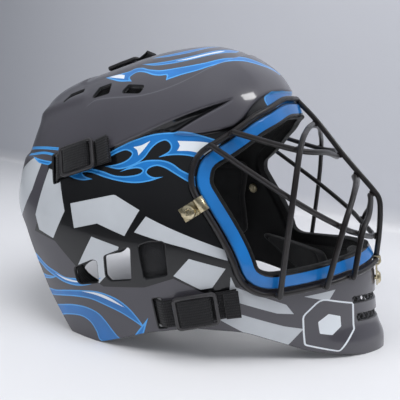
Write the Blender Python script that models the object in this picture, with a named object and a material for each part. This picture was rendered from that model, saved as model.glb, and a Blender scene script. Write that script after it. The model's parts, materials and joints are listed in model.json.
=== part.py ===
"""Goalie mask: a moulded shell with a welded wire cage, foam lining and a strapped-in back plate.

+X is forward (the face), +Y is the wearer's left and +Z is up. The origin is at the middle of the
footprint, on the surface that the chin and the two rear corners stand on. Lengths are in
millimetres and are scaled to metres where the meshes are made.
"""
import math

import bmesh
import bpy
import numpy as np
from mathutils import Matrix, Vector, geometry

MM = 0.001

# ---- driving dimensions -------------------------------------------------------------------------
WALL = 3.5              # shell thickness
CLEAR = 1.0             # room between faceted curved faces that nest in each other
GAP = 0.35              # room between two pieces that touch
GRID = 17.0             # spacing of the shell's vertices

# Horizontal sections of the shell, from the crown down: height, front x, back x, half width,
# x of the widest point, and how square the front and the back corners are (2 is an ellipse).
SECTIONS = (
    (253.0, 2, 2, 0.0, 2, 2.00, 2.00),
    (250.5, 20, -26, 21.0, 1, 2.00, 2.00),
    (243.0, 40, -58, 42.0, 0, 2.00, 2.10),
    (230.0, 60, -97, 63.0, -2, 1.95, 2.20),
    (213.0, 73, -137, 81.0, -4, 1.85, 2.40),
    (193.0, 84, -160, 93.0, -6, 1.72, 2.65),
    (167.0, 94, -168, 102.0, -8, 1.64, 2.85),
    (139.0, 108, -172, 110.5, -10, 1.60, 3.00),
    (109.0, 133, -174, 118.0, -12, 1.60, 3.00),
    (77.0, 157, -170, 122.0, -14, 1.58, 2.90),
    (45.0, 164, -161, 122.0, -14, 1.55, 2.75),
    (20.0, 169, -152, 120.0, -14, 1.50, 2.60),
    (-5.0, 172, -141, 116.5, -14, 1.45, 2.50),
)
EDGE_SOFTNESS = 0.12    # keeps the sections smooth where they cross the axes
CROWN_TO_RIM = 345.0    # distance over the side from the crown to the lowest section

# Outlines on the right half. Each point is (first, second, corner radius) in the named view:
# "front" is (y, z), "side" is (x, z) and "top" is (x, y).
FACE_OPENING = ((-30, 194, 40), (-60, 178.5, 60), (-94.5, 150, 16), (-98.5, 138, 16),
                (-93.5, 70, 7), (-45, 81.5, 60))
FACE_OPENING_TOP = 196.5
FACE_OPENING_BOTTOM = 88
BOTTOM_EDGE = ((150, 2.5, 30), (118, 8, 60), (70, 26, 60), (32, 28, 60), (0, 20, 60), (-45, 0, 30),
               (-77, 0, 8), (-101, 32, 60), (-131, 84, 25), (-150, 103, 20))
CHIN_REST = 22          # half length of the flat stretch under the chin
BACK_EDGE = 110         # height of the shell's edge at the middle of the back
EAR_HOLES = (((-71, 60, 4), (-52, 70, 4), (-47, 70, 3), (-44, 52, 3), (-66, 45.5, 6)),
             ((-41.5, 75, 3), (-18, 87, 3), (-14.5, 59.5, 3), (-34, 55, 4), (-39, 59, 4)),
             ((-12.5, 88, 3), (-4, 92, 4), (9.5, 94, 4), (14.5, 67.5, 3), (-5, 61.5, 3)))
CROWN_VENTS = (((-114, 190, 1), (-110, 201, 2), (-95, 206.5, 1), (-93, 202.5, 1), (-105, 197.5, 3)),
               ((-83, 197, 2), (-79, 208, 2), (-66.5, 212, 2), (-64, 202, 2)),
               ((-53, 202, 2), (-48, 210, 2), (-31, 209.5, 2), (-33, 202, 4)))
CHIN_VENTS = (((-37.5, 50.5, 2), (-36.5, 43.5, 2)), ((-33, 35, 2), (-32, 27.5, 2)))
CHIN_VENT_DROP = 1.8    # how much lower the vents lie at the middle

# Straps: slot centre, far end of the webbing and buckle centre, in side view.
UPPER_STRAP = {"slot": (-102, 137), "end": (-49, 157), "buckle": (-76.5, 146.6)}
LOWER_STRAP = {"slot": (9, 37), "end": (64, 51), "buckle": (35.7, 43.8)}
TOP_STRAP = {"slot": (-118, 0), "end": (-66, 0), "buckle": (-92.5, 0)}
WEBBING_WIDTH = 22.0
WEBBING_THICK = 1.8
SLOT_LENGTH = 26.0
SLOT_WIDTH = 8.5
BUCKLE_LENGTH = 34.0
BUCKLE_WIDTH = 26.0
BUCKLE_BAR = 3.0         # the three bars across the strap
BUCKLE_RAIL = 2.3        # the two rails along it
BUCKLE_THICK = 3.4
WEBBING_LIFT = 1.1      # under the webbing where it lies on the shell
BUCKLE_LIFT = 0.9       # between the webbing and the buckle

# Cage
WIRE = 4.6              # wire diameter
RIM_WIDTH = 11.5        # raised band round the face opening
RIM_HEIGHT = 3.0
CAGE_OFFSET = RIM_WIDTH + WIRE / 2 + 0.8
LAYER = WIRE + GAP      # two wires that cross lie this far apart
SIDE_SCREW = (23.5, 116)
CHIN_SCREW = (0, 59.5)
SCREW_HOLE = 7.4
HOOK_CLEAR = 0.8         # between a clip and the wire in its hook
CLIP_WIDTH = 11.0
CLIP_THICK = 1.2
CLIP_END = 5.6              # behind the screw's axis, under its head
CLIP_BASE = 0.9          # room between the shell's curved face and the flat clip
CLIP_HOLE = 4.8
# Turned profiles: (radius, height over the shell's face)
SCREW_PROFILE = ((0, 5.0), (2.4, 4.8), (4.5, 4.0), (5.7, 2.9), (5.8, 2.4), (2.0, 2.4), (2.0, -9.0),
                 (0, -9.0))
NUT_PROFILE = ((2.35, -8.6), (2.35, -0.4), (2.8, -0.4), (2.8, -6.1), (5.6, -6.1), (5.6, -7.3),
               (3.6, -7.3), (3.6, -8.6))

# Edge trim section: (into the opening, off the shell's face)
TRIM_SECTION = ((0.9, 3.2), (2.6, 3.2), (2.6, -4.0), (0.9, -4.0))

# Lining
FOAM = 10.0
FOAM_LIFT = -(WALL + CLEAR)
PADS = {
    "forehead_pad": ("front", ((-34, 205, 6), (34, 205, 6), (34, 222, 6), (-34, 222, 6))),
    "chin_pad": ("front", ((-30, 68, 5), (30, 68, 5), (28, 84, 5), (-28, 84, 5))),
    "crown_pad": ("top", ((-62, -36, 14), (34, -36, 14), (34, 36, 14), (-62, 36, 14))),
}
SIDE_PADS = {
    "temple_pad": ("side", ((-44, 160, 8), (22, 168, 8), (28, 196, 8), (-36, 196, 8))),
    "cheek_pad": ("side", ((-62, 102, 8), (-22, 97, 10), (-17, 56, 8), (21, 58, 8), (12, 104, 20),
                           (18, 148, 10), (-56, 144, 8))),
    "jaw_pad": ("side", ((36, 64, 8), (100, 30, 8), (132, 34, 8), (118, 62, 8), (58, 64, 6))),
    "rear_pad": ("side", ((-160, 128, 8), (-128, 128, 8), (-112, 176, 8), (-142, 180, 8))),
}

# Back plate: part of an upright drum, behind the head
PLATE_AXIS = -40.0
PLATE_RADIUS = 92.0
PLATE_THICK = 2.5
PLATE_PAD = (-1.5, -10.0)   # the pad's outer and inner face, from the drum
PLATE_MIDDLE = 66.0         # height of the plate's middle
PLATE_CUP = 0.0016          # how fast the plate leans in, away from its middle
MM_PER_DEGREE = 1.6         # along the drum
PLATE_OUTLINE = ((-52, 58, 14), (-40, 104, 14), (40, 104, 14), (52, 58, 14), (30, 30, 16),
                 (-30, 30, 16))       # (degrees round the drum, height, corner radius)

MATERIALS = {
    "shell": ((0.052, 0.050, 0.058), 0.12, 0.0),
    "wire": ((0.020, 0.017, 0.018), 0.38, 0.3),
    "trim": ((0.012, 0.012, 0.012), 0.55, 0.0),
    "foam": ((0.010, 0.010, 0.011), 0.90, 0.0),
    "yellow_foam": ((0.55, 0.42, 0.10), 0.85, 0.0),
    "webbing": ((0.012, 0.012, 0.013), 0.80, 0.0),
    "buckle": ((0.016, 0.016, 0.018), 0.35, 0.0),
    "clip": ((0.62, 0.56, 0.45), 0.25, 1.0),
    "mesh": ((0.014, 0.014, 0.015), 0.50, 0.0),
    "plate": ((0.015, 0.015, 0.016), 0.40, 0.0),
}


# ---- the shell's surface ------------------------------------------------------------------------
def spline(values, level_start=False):
    """Values and slopes of a smooth curve through evenly spaced values."""
    values = np.array(values, float)
    count = len(values)
    matrix = np.zeros((count, count))
    right = np.zeros(count)
    for i in range(1, count - 1):
        matrix[i, i - 1:i + 2] = (1, 4, 1)
        right[i] = 3 * (values[i + 1] - values[i - 1])
    if level_start:
        matrix[0, 0] = 1
    else:
        matrix[0, :2] = (2, 1)
        right[0] = 3 * (values[1] - values[0])
    matrix[-1, -2:] = (1, 2)
    right[-1] = 3 * (values[-1] - values[-2])
    return values, np.linalg.solve(matrix, right)


def along(curve, v):
    """The curve's value at v, from 0 at the crown to 1 at the lowest section."""
    values, slopes = curve
    place = np.clip(v, 0, 1) * (len(values) - 1)
    i = np.minimum(place.astype(int), len(values) - 2)
    f = place - i
    return (values[i] * (1 + 2 * f) * (1 - f) ** 2 + slopes[i] * f * (1 - f) ** 2
            + values[i + 1] * f * f * (3 - 2 * f) + slopes[i + 1] * f * f * (f - 1))


HEIGHT = spline([s[0] for s in SECTIONS], level_start=True)
FRONT_REACH = spline([s[1] - s[4] for s in SECTIONS])
BACK_REACH = spline([s[4] - s[2] for s in SECTIONS])
HALF_WIDTH = spline([s[3] for s in SECTIONS])
WIDEST_X = spline([s[4] for s in SECTIONS])
FRONT_POWER = spline([2 / s[5] for s in SECTIONS])
BACK_POWER = spline([2 / s[6] for s in SECTIONS])


def squared_off(c, power):
    soft = EDGE_SOFTNESS ** 2
    return c * ((c * c + soft) / (1 + soft)) ** ((power - 1) / 2)


def base_point(v, angle):
    """Smooth outer surface; angle is 0 at the front, negative on the right and pi at the back."""
    c, s = np.cos(angle), np.sin(angle)
    turn = np.sin(np.pi * c / 2)
    front = (1 + turn * (1.5 - 0.5 * turn * turn)) / 2
    reach = along(BACK_REACH, v) * (1 - front) + along(FRONT_REACH, v) * front
    power = along(BACK_POWER, v) * (1 - front) + along(FRONT_POWER, v) * front
    return np.stack([along(WIDEST_X, v) + reach * squared_off(c, power),
                     along(HALF_WIDTH, v) * squared_off(s, power),
                     along(HEIGHT, v) + 0 * c], -1)


def base_normal(v, angle):
    step = 1e-4
    v = np.clip(v, 0.004, 1 - step)
    down = base_point(v + step, angle) - base_point(v - step, angle)
    round_ = base_point(v, angle + step) - base_point(v, angle - step)
    normal = np.cross(down, round_)
    return normal / np.linalg.norm(normal, axis=-1, keepdims=True)


def step_up(value, start, end):
    t = np.clip((value - start) / (end - start), 0, 1)
    return t * t * (3 - 2 * t)


def band_distance(points):
    """Distance to the edge of the face opening."""
    nearest = np.full(points.shape[:-1], 1e9)
    for a, b in zip(OPENING_POINTS, np.roll(OPENING_POINTS, -1, axis=0)):
        t = np.clip(((points - a) @ (b - a)) / ((b - a) @ (b - a)), 0, 1)
        nearest = np.minimum(nearest, np.linalg.norm(points - a - t[..., None] * (b - a), axis=-1))
    return nearest


def relief(points):
    """How far the finished outer face stands off the base surface."""
    x, y, z = points[..., 0], points[..., 1], points[..., 2]
    rim = RIM_HEIGHT * (1 - step_up(band_distance(points), RIM_WIDTH - 2.5, RIM_WIDTH))
    chin_lip = 5.0 * (1 - step_up(z, 8, 27)) * step_up(x, 95, 150)
    rear_flare = 3.0 * (1 - step_up(z, 140, 147)) * step_up(-x, 105, 150)
    return rim + chin_lip + rear_flare


def shell_point(v, angle, lift=0.0, smooth=False):
    base = base_point(v, angle)
    height = lift if smooth else lift + relief(base)
    return base + base_normal(v, angle) * np.asarray(height)[..., None]


VIEW_AXES = {"front": (1, 2), "side": (0, 2), "top": (0, 1)}
SEARCH_V, SEARCH_ANGLE = np.meshgrid(np.linspace(0.01, 1, 110), np.linspace(-np.pi, 0, 120),
                                     indexing="ij")
SEARCH_POINTS = base_point(SEARCH_V, SEARCH_ANGLE)


def locate(view, first, second):
    """(v, angle) of the base surface's point at two coordinates, on the right half."""
    axes = VIEW_AXES[view]
    found = []
    for a, b in zip(np.atleast_1d(first), np.atleast_1d(second)):
        side = 1.0
        if view == "top" and b > 0:
            side, b = -1.0, -b
        if view == "front" and a > 0:
            side, a = -1.0, -a
        target = np.array((a, b), float)
        miss = ((SEARCH_POINTS[..., axes] - target) ** 2).sum(-1)
        if view == "front":
            miss = miss + np.where(SEARCH_ANGLE < -math.pi / 2, 1e9, 0)
        k = np.unravel_index(np.argmin(miss), miss.shape)
        place = np.array((SEARCH_V[k], SEARCH_ANGLE[k]))
        for _ in range(8):
            here = base_point(place[:1], place[1:])[0][list(axes)]
            step = 1e-4
            slope_v = (base_point(place[:1] + step, place[1:])[0][list(axes)] - here) / step
            slope_a = (base_point(place[:1], place[1:] + step)[0][list(axes)] - here) / step
            jacobian = np.stack([slope_v, slope_a], -1)
            place = place + np.clip(np.linalg.lstsq(jacobian, target - here, rcond=1e-3)[0], -.1, .1)
            place[0] = np.clip(place[0], 0.002, 0.9999)
        found.append((place[0], place[1] * side))
    found = np.array(found)
    return found[:, 0], found[:, 1]


# ---- outlines -----------------------------------------------------------------------------------
def rounded(corners, closed=True, spacing=6.0):
    """Points along an outline whose corners (a, b, radius) are arcs."""
    points = []
    count = len(corners)
    for i, (a, b, radius) in enumerate(corners):
        here = np.array((a, b), float)
        if radius == 0 or (not closed and i in (0, count - 1)):
            points.append(here)
            continue
        before = np.array(corners[i - 1][:2], float) - here
        after = np.array(corners[(i + 1) % count][:2], float) - here
        len_before, len_after = np.linalg.norm(before), np.linalg.norm(after)
        before, after = before / len_before, after / len_after
        half = math.acos(max(-1, min(1, before @ after))) / 2
        cut = min(radius / math.tan(half), 0.49 * len_before, 0.49 * len_after)
        radius = cut * math.tan(half)
        middle = before + after
        centre = here + middle / np.linalg.norm(middle) * radius / math.sin(half)
        start, end = here + before * cut - centre, here + after * cut - centre
        sweep = math.pi - 2 * half
        steps = max(1, round(radius * sweep / min(spacing, max(radius, 1.0))))
        for k in range(steps + 1):
            t = k / steps
            arc = (math.sin((1 - t) * sweep) * start + math.sin(t * sweep) * end) / math.sin(sweep)
            points.append(centre + arc)
    return subdivided(np.array(points), closed, spacing)


def subdivided(points, closed, spacing):
    ends = np.roll(points, -1, axis=0) if closed else points[1:]
    result = []
    for a, b in zip(points, ends):
        length = np.linalg.norm(b - a)
        if length < 0.3:
            continue
        pieces = max(1, math.ceil(length / spacing - 0.2))
        result.extend(a + (b - a) * k / pieces for k in range(pieces))
    if not closed:
        result.append(points[-1])
    return np.array(result)


def mirrored(corners):
    return [(-a, b, r) for a, b, r in reversed(corners)]


def opening_loop():
    corners = [(0, FACE_OPENING_TOP, 80), *FACE_OPENING, (0, FACE_OPENING_BOTTOM, 80),
               *mirrored(FACE_OPENING)]
    return rounded(corners, spacing=9.0)


def chin_vent_loop(vent, grow=0.0):
    (y1, z1, r), (y2, z2, _) = vent
    drop = CHIN_VENT_DROP
    return rounded([(y1 - grow, z1 + grow, r), (0, z1 + grow - drop, 90), (-y1 + grow, z1 + grow, r),
                    (-y2 + grow, z2 - grow, r), (0, z2 - grow - drop, 90), (y2 - grow, z2 - grow, r)],
                   spacing=9.0)


def strap_heading(strap):
    """Unit vector along a strap in its view."""
    run = np.array(strap["end"], float) - np.array(strap["slot"], float)
    return run / np.linalg.norm(run)


def slot_loop(strap):
    centre = np.array(strap["slot"], float)
    ahead = strap_heading(strap) * SLOT_WIDTH / 2
    across = np.array((-ahead[1], ahead[0])) / np.linalg.norm(ahead) * SLOT_LENGTH / 2
    corners = [centre + ahead + across, centre + ahead - across, centre - ahead - across,
               centre - ahead + across]
    return rounded([(*c, 2) for c in corners], spacing=9.0)


def circle_loop(centre, diameter, count=8):
    turns = np.linspace(0, 2 * np.pi, count, endpoint=False)
    return np.stack([centre[0] + diameter / 2 * np.cos(turns),
                     centre[1] + diameter / 2 * np.sin(turns)], -1)


def both_sides(view, loop):
    v, angle = locate(view, loop[:, 0], loop[:, 1])
    return [(v, angle), (v[::-1], -angle[::-1])]


def outer_loop():
    """The shell's lower and rear edge, from under the chin round the right side to the back."""
    chin = [(0, 0), (-CHIN_REST, 0)]
    chin_v, chin_angle = locate("front", *zip(*chin))
    side = rounded([(157, 0.2, 0), *BOTTOM_EDGE], closed=False, spacing=9.0)
    side_v, side_angle = locate("side", side[:, 0], side[:, 1])
    back_angle = np.linspace(side_angle[-1], -np.pi, 8)[1:]
    back_height = np.linspace(side[-1, 1], BACK_EDGE, 8)[1:]
    heights = along(HEIGHT, SEARCH_V[:, 0])
    back_v = np.interp(-back_height, -heights, SEARCH_V[:, 0])
    v = np.concatenate([chin_v, side_v, back_v])
    angle = np.concatenate([chin_angle, side_angle, back_angle])
    return np.concatenate([v, v[-2:0:-1]]), np.concatenate([angle, -angle[-2:0:-1]])


OPENING_2D = opening_loop()
OPENING_LOOP = locate("front", OPENING_2D[:, 0], OPENING_2D[:, 1])
OPENING_POINTS = base_point(*OPENING_LOOP)


def offset_on_shell(distance):
    """The face opening's outline moved outwards over the base surface."""
    v, angle = (np.array(a) for a in OPENING_LOOP)
    ahead = np.roll(OPENING_POINTS, -1, axis=0) - np.roll(OPENING_POINTS, 1, axis=0)
    ahead /= np.linalg.norm(ahead, axis=1, keepdims=True)
    outward = np.cross(base_normal(v, angle), ahead)
    middle = OPENING_POINTS.mean(axis=0)
    outward *= np.sign(((OPENING_POINTS - middle) * outward).sum(1))[:, None]
    outward[np.abs(OPENING_POINTS[:, 1]) < 0.5, 1] = 0
    target = OPENING_POINTS + outward * distance
    step = 1e-4
    for _ in range(12):
        here = base_point(v, angle)
        slopes = np.stack([(base_point(v + step, angle) - here) / step,
                           (base_point(v, angle + step) - here) / step], -1)
        for i in range(len(v)):
            move = np.linalg.lstsq(slopes[i], target[i] - here[i], rcond=None)[0]
            v[i] += np.clip(move[0], -0.05, 0.05)
            angle[i] += np.clip(move[1], -0.1, 0.1)
    return v, angle


# ---- mesh helpers -------------------------------------------------------------------------------
def material(slot):
    existing = bpy.data.materials.get(slot)
    if existing:
        return existing
    colour, roughness, metallic = MATERIALS[slot]
    made = bpy.data.materials.new(slot)
    made.use_nodes = True
    shader = made.node_tree.nodes["Principled BSDF"]
    shader.inputs["Base Color"].default_value = (*colour, 1)
    shader.inputs["Roughness"].default_value = roughness
    shader.inputs["Metallic"].default_value = metallic
    return made


def add_object(name, points, faces, slot, sharp=40, origin=(0, 0, 0)):
    """One closed solid, from points in millimetres, with its object at the origin given."""
    mesh = bpy.data.meshes.new(name)
    mesh.from_pydata([tuple(float(c - o) * MM for c, o in zip(p, origin)) for p in points], [],
                     [tuple(int(i) for i in f) for f in faces])
    work = bmesh.new()
    work.from_mesh(mesh)
    bmesh.ops.remove_doubles(work, verts=work.verts, dist=1e-6)
    bmesh.ops.recalc_face_normals(work, faces=work.faces)
    work.to_mesh(mesh)
    work.free()
    mesh.shade_smooth()
    mesh.set_sharp_from_angle(angle=math.radians(sharp))
    mesh.materials.append(material(slot))
    made = bpy.data.objects.new(name, mesh)
    made.location = [float(c) * MM for c in origin]
    bpy.context.collection.objects.link(made)
    return made


def cut(target, points, faces):
    """Subtracts a closed solid from an object."""
    cutter = add_object(f"{target.name}_cutter", points, faces, "trim")
    cutter.hide_render = True
    cutter.display_type = "WIRE"
    modifier = target.modifiers.new("cut", "BOOLEAN")
    modifier.operation = "DIFFERENCE"
    modifier.solver = "EXACT"
    modifier.object = cutter


def inside(points, loop):
    """Which 2-D points lie inside a closed 2-D loop."""
    result = np.zeros(len(points), bool)
    for a, b in zip(loop, np.roll(loop, -1, axis=0)):
        crosses = (a[1] > points[:, 1]) != (b[1] > points[:, 1])
        rise = (b[1] - a[1]) if abs(b[1] - a[1]) > 1e-12 else 1e-12
        result ^= crosses & (points[:, 0] < (b[0] - a[0]) * (points[:, 1] - a[1]) / rise + a[0])
    return result


def flattened(v, angle):
    return np.stack([v * np.cos(angle), v * np.sin(angle)], -1)


def grid_places(spacing):
    """(v, angle) of vertices spread evenly over the base surface."""
    places = [(0.002, 0.0)]
    rows = round(CROWN_TO_RIM / spacing)
    for i in range(1, rows):
        turns = np.linspace(-np.pi, np.pi, 361)
        ring = base_point(np.full(361, i / rows), turns)
        run = np.concatenate([[0], np.cumsum(np.linalg.norm(np.diff(ring, axis=0), axis=1))])
        count = 2 * max(3, round(run[-1] / spacing / 2))
        shift = 0.5 * (i % 2)
        marks = (np.arange(count) + shift) / count * run[-1]
        places.extend((i / rows, t) for t in np.interp(marks, run, turns))
    return np.array(places)


def shell_sheet(outer, holes, features, spacing):
    """Vertices (v, angle) and triangles of the shell's face between its edges."""
    loops = [outer, *holes, *features]
    places = np.concatenate([np.stack(loop, -1) for loop in loops])
    edges = []
    start = 0
    for v, _ in loops:
        count = len(v)
        edges.extend((start + i, start + (i + 1) % count) for i in range(count))
        start += count
    grid = grid_places(spacing)
    edge_points = base_point(places[:, 0], places[:, 1])
    grid_points = base_point(grid[:, 0], grid[:, 1])
    nearest = np.min(np.linalg.norm(grid_points[:, None] - edge_points[None], axis=-1), axis=1)
    flat = flattened(grid[:, 0], grid[:, 1])
    keep = (nearest > 0.5 * spacing) & inside(flat, flattened(*outer))
    for hole in holes:
        keep &= ~inside(flat, flattened(*hole))
    places = np.concatenate([places, grid[keep]])
    flat = flattened(places[:, 0], places[:, 1])
    result = geometry.delaunay_2d_cdt([Vector(p) for p in flat], edges, [], 0, 1e-9)
    flat = np.array([tuple(p) for p in result[0]])
    triangles = np.array([f for f in result[2]])
    middles = flat[triangles].mean(axis=1)
    keep = inside(middles, flattened(*outer))
    for hole in holes:
        keep &= ~inside(middles, flattened(*hole))
    v = np.hypot(flat[:, 0], flat[:, 1])
    return v, np.arctan2(flat[:, 1], flat[:, 0]), triangles[keep]


def thick_sheet(outside, lining, triangles):
    """Points and faces of a closed solid between two sheets with the same triangles."""
    count = len(outside)
    faces = [tuple(t) for t in triangles]
    open_edges = set()
    for a, b, c in triangles:
        for edge in ((a, b), (b, c), (c, a)):
            if (edge[1], edge[0]) in open_edges:
                open_edges.discard((edge[1], edge[0]))
            else:
                open_edges.add(edge)
    faces += [(c + count, b + count, a + count) for a, b, c in triangles]
    for a, b in sorted(open_edges):
        faces += [(b, a, a + count), (b, a + count, b + count)]
    used = sorted({i for f in faces for i in f})
    order = {old: new for new, old in enumerate(used)}
    points = np.concatenate([outside, lining])[used]
    return points, [tuple(order[i] for i in f) for f in faces]


def disc_faces(count, rings):
    """Triangles of concentric rings of vertices round a middle vertex, which comes last."""
    faces = []
    for r in range(rings - 1):
        for i in range(count):
            j = (i + 1) % count
            a, b = r * count + i, r * count + j
            faces += [(a, b, b + count), (a, b + count, a + count)]
    last = (rings - 1) * count
    faces += [(last + i, last + (i + 1) % count, rings * count) for i in range(count)]
    return np.array(faces)


def disc_places(outline, rings):
    middle = outline.mean(axis=0)
    scales = [1 - r / rings for r in range(rings)]
    return np.concatenate([middle + (outline - middle) * s for s in scales] + [middle[None]])


def lathe(profile, frame, sides=16):
    """A closed turned ring or plug; profile points are (radius, height) along the frame's Z."""
    points = []
    faces = []
    rows = len(profile)
    ring = all(r > 0 for r, _ in profile)
    for k in range(sides):
        turn = 2 * math.pi * k / sides
        points += [frame @ Vector((r * math.cos(turn), r * math.sin(turn), h)) for r, h in profile]
    for k in range(sides):
        a, b = k * rows, ((k + 1) % sides) * rows
        for i in range(rows if ring else rows - 1):
            j = (i + 1) % rows
            corners = [a + i, b + i, b + j, a + j]
            if profile[i][0] == 0:
                corners = [a + i, b + j, a + j]
            if profile[j][0] == 0:
                corners = [a + i, b + i, a + j]
            faces.append(tuple(corners))
    return points, faces


def prism(outline, frame, low, high):
    """A closed prism: outline points (x, y) of the frame, from low to high along its Z."""
    count = len(outline)
    points = [frame @ Vector((a, b, low)) for a, b in outline]
    points += [frame @ Vector((a, b, high)) for a, b in outline]
    faces = [tuple(range(count))[::-1], tuple(range(count, 2 * count))]
    faces += [(i, (i + 1) % count, (i + 1) % count + count, i + count) for i in range(count)]
    return points, faces


def ribbon(middles, acrosses, normals, width, thick):
    """A closed flat band along a line of middle points."""
    points = []
    for middle, across, normal in zip(middles, acrosses, normals):
        for side, up in ((-1, -1), (1, -1), (1, 1), (-1, 1)):
            points.append(middle + across * side * width / 2 + normal * up * thick / 2)
    faces = [(0, 1, 2, 3), tuple(4 * len(middles) - k for k in (1, 2, 3, 4))]
    for i in range(len(middles) - 1):
        a, b = 4 * i, 4 * i + 4
        faces += [(a + k, a + (k + 1) % 4, b + (k + 1) % 4, b + k) for k in range(4)]
    return points, faces


def axes_frame(origin, x_axis, z_axis):
    """A frame at origin with Z along z_axis and X as near x_axis as it can be."""
    z = Vector(z_axis).normalized()
    x = Vector(x_axis)
    x = (x - x.dot(z) * z).normalized()
    frame = Matrix((x, z.cross(x), z)).transposed().to_4x4()
    frame.translation = Vector(origin)
    return frame


def flipped(points):
    return [(p[0], -p[1], p[2]) for p in points]


# ---- the shell ----------------------------------------------------------------------------------
def build_shell():
    holes = [OPENING_LOOP]
    for outline in (*EAR_HOLES, *CROWN_VENTS):
        holes += both_sides("side", rounded(outline, spacing=12.0))
    for strap in (UPPER_STRAP, LOWER_STRAP):
        holes += both_sides("side", slot_loop(strap))
    top_slot = slot_loop(TOP_STRAP)
    holes.append(locate("top", top_slot[:, 0], top_slot[:, 1]))
    for vent in CHIN_VENTS:
        loop = chin_vent_loop(vent)
        holes.append(locate("front", loop[:, 0], loop[:, 1]))
    holes += both_sides("side", circle_loop(SIDE_SCREW, SCREW_HOLE))
    chin_hole = circle_loop(CHIN_SCREW, SCREW_HOLE)
    holes.append(locate("front", chin_hole[:, 0], chin_hole[:, 1]))
    v, angle, triangles = shell_sheet(outer_loop(), holes, [offset_on_shell(RIM_WIDTH)], GRID)
    outside = shell_point(v, angle)
    lining = shell_point(v, angle, -WALL)
    standing = outside[:, 2] < 0.6
    outside[standing, 2] = 0
    lining[standing, 2] = 0
    points, faces = thick_sheet(outside, lining, triangles)
    add_object("shell", points, faces, "shell", sharp=50)


# ---- the cage -----------------------------------------------------------------------------------
def smooth_path(points, steps=4):
    """Points along a smooth curve through the given ones."""
    points = [np.array(p, float) for p in points]
    ends = [2 * points[0] - points[1], *points, 2 * points[-1] - points[-2]]
    result = []
    for a, b, c, d in zip(ends, ends[1:], ends[2:], ends[3:]):
        for k in range(steps):
            t = k / steps
            result.append(0.5 * (2 * b + (c - a) * t + (2 * a - 5 * b + 4 * c - d) * t * t
                                 + (3 * b - a - 3 * c + d) * t ** 3))
    result.append(points[-1])
    return result


def wire(name, path, closed=False, diameter=WIRE):
    curve = bpy.data.curves.new(name, "CURVE")
    curve.dimensions = "3D"
    curve.bevel_depth = diameter / 2 * MM
    curve.bevel_resolution = 2
    curve.use_fill_caps = not closed
    curve.resolution_u = 1
    curve.render_resolution_u = 0
    spline_ = curve.splines.new("POLY")
    spline_.points.add(len(path) - 1)
    for point, place in zip(spline_.points, path):
        point.co = (*(float(c) * MM for c in place), 1)
    spline_.use_cyclic_u = closed
    curve.materials.append(material("wire"))
    made = bpy.data.objects.new(name, curve)
    bpy.context.collection.objects.link(made)
    return made


def perimeter_path():
    v, angle = offset_on_shell(CAGE_OFFSET)
    return shell_point(v, angle, WIRE / 2 + 0.8, smooth=True), base_normal(v, angle)


# Where wires cross, on the right half: place of the inner wire's axis and the way out.
UPPER_ON_ARCH = ((96.5, -76.7, 169.4), (0.55, -0.72, 0.41))
LOWER_ON_ARCH = ((96.6, -89.5, 131.9), (0.41, -0.81, 0.10))
LOWER_ON_MIDDLE = ((133.3, -62.7, 111.9), (0.76, -0.63, 0.13))
LOWER_ON_INNER = ((147, -40, 104.3), (0.88, -0.44, 0.16))
OUT_TOP = np.array((0.73, 0, 0.68))       # square to the sloping stretch of the centre bar
BAR_POINTS = ((98.3, 0, 191.8), (122.2, 0, 165.9), (138.2, 0, 149.8), (152, 0, 136.1),
              (157.4, 0, 128.8), (159.6, 0, 118), (160.9, 0, 98))
BUTT = WIRE / 2 + 0.45  # the centre bar's ends stop this far from the perimeter wire's middle


def pushed(crossing, layers):
    place, out = (np.array(a, float) for a in crossing)
    return place + out / np.linalg.norm(out) * LAYER * layers


def build_cage():
    rim, rim_out = perimeter_path()
    wire("cage_perimeter", rim, closed=True)

    def on_rim(test, layers=1.12):
        """A point outside the perimeter wire where test is least, on the right half."""
        right = np.nonzero(rim[:, 1] <= 0.01)[0]
        best = right[np.argmin([test(p) for p in rim[right]])]
        return rim[best] + rim_out[best] * LAYER * layers

    brow = on_rim(lambda p: abs(p[1]) - p[2] * 0.001 + (p[2] < 150) * 1e3, 0)
    chin = middle_of(rim)
    bar = [brow + np.array((0.68, 0, -0.73)) * BUTT, *BAR_POINTS, chin + np.array((0, 0, BUTT))]
    wire("cage_centre_bar", smooth_path(bar, 3))

    def symmetric(name, right_half, middle):
        path = [*right_half, middle, *[np.array(p) * (1, -1, 1) for p in reversed(right_half)]]
        wire(name, smooth_path(path, 3))

    behind_bar = np.array(BAR_POINTS[1]) - OUT_TOP * LAYER
    upper_end = on_rim(lambda p: abs(p[2] - 176.5) + (p[2] < 150) * 1e3)
    symmetric("cage_upper_cross", [upper_end, pushed(UPPER_ON_ARCH, -1), (113, -45, 166.5)], behind_bar)
    lower_end = on_rim(lambda p: abs(p[2] - 164) + (p[2] < 130) * 1e3)
    low_bar = np.array((161, 0, 96.4)) - np.array((1, 0, 0)) * LAYER
    symmetric("cage_lower_cross", [lower_end, pushed(LOWER_ON_ARCH, -1), pushed(LOWER_ON_MIDDLE, -1),
                                   pushed(LOWER_ON_INNER, -1)], low_bar)

    def foot(y):
        return on_rim(lambda p: abs(p[1] + y) + (p[2] > 100) * 1e3)

    arch_top = np.array(BAR_POINTS[0]) - OUT_TOP * LAYER
    symmetric("cage_outer_arch", [foot(87), pushed(LOWER_ON_ARCH, 0),
                                  pushed(UPPER_ON_ARCH, 0), (96.6, -53, 182.5), (97.2, -27, 188)], arch_top)
    middle_top = np.array(BAR_POINTS[2]) - OUT_TOP * LAYER
    symmetric("cage_middle_arch", [foot(64), pushed(LOWER_ON_MIDDLE, 0),
                                   (136.1, -50, 128), (137.2, -38, 137.2), (137, -20, 143.5)], middle_top)
    inner_top = np.array((153.2, 0, 134.9)) - OUT_TOP * LAYER
    symmetric("cage_inner_arch", [foot(46), pushed(LOWER_ON_INNER, 0),
                                  (150.4, -24, 117), (150.6, -9, 127.5)], inner_top)
    return rim


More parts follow.
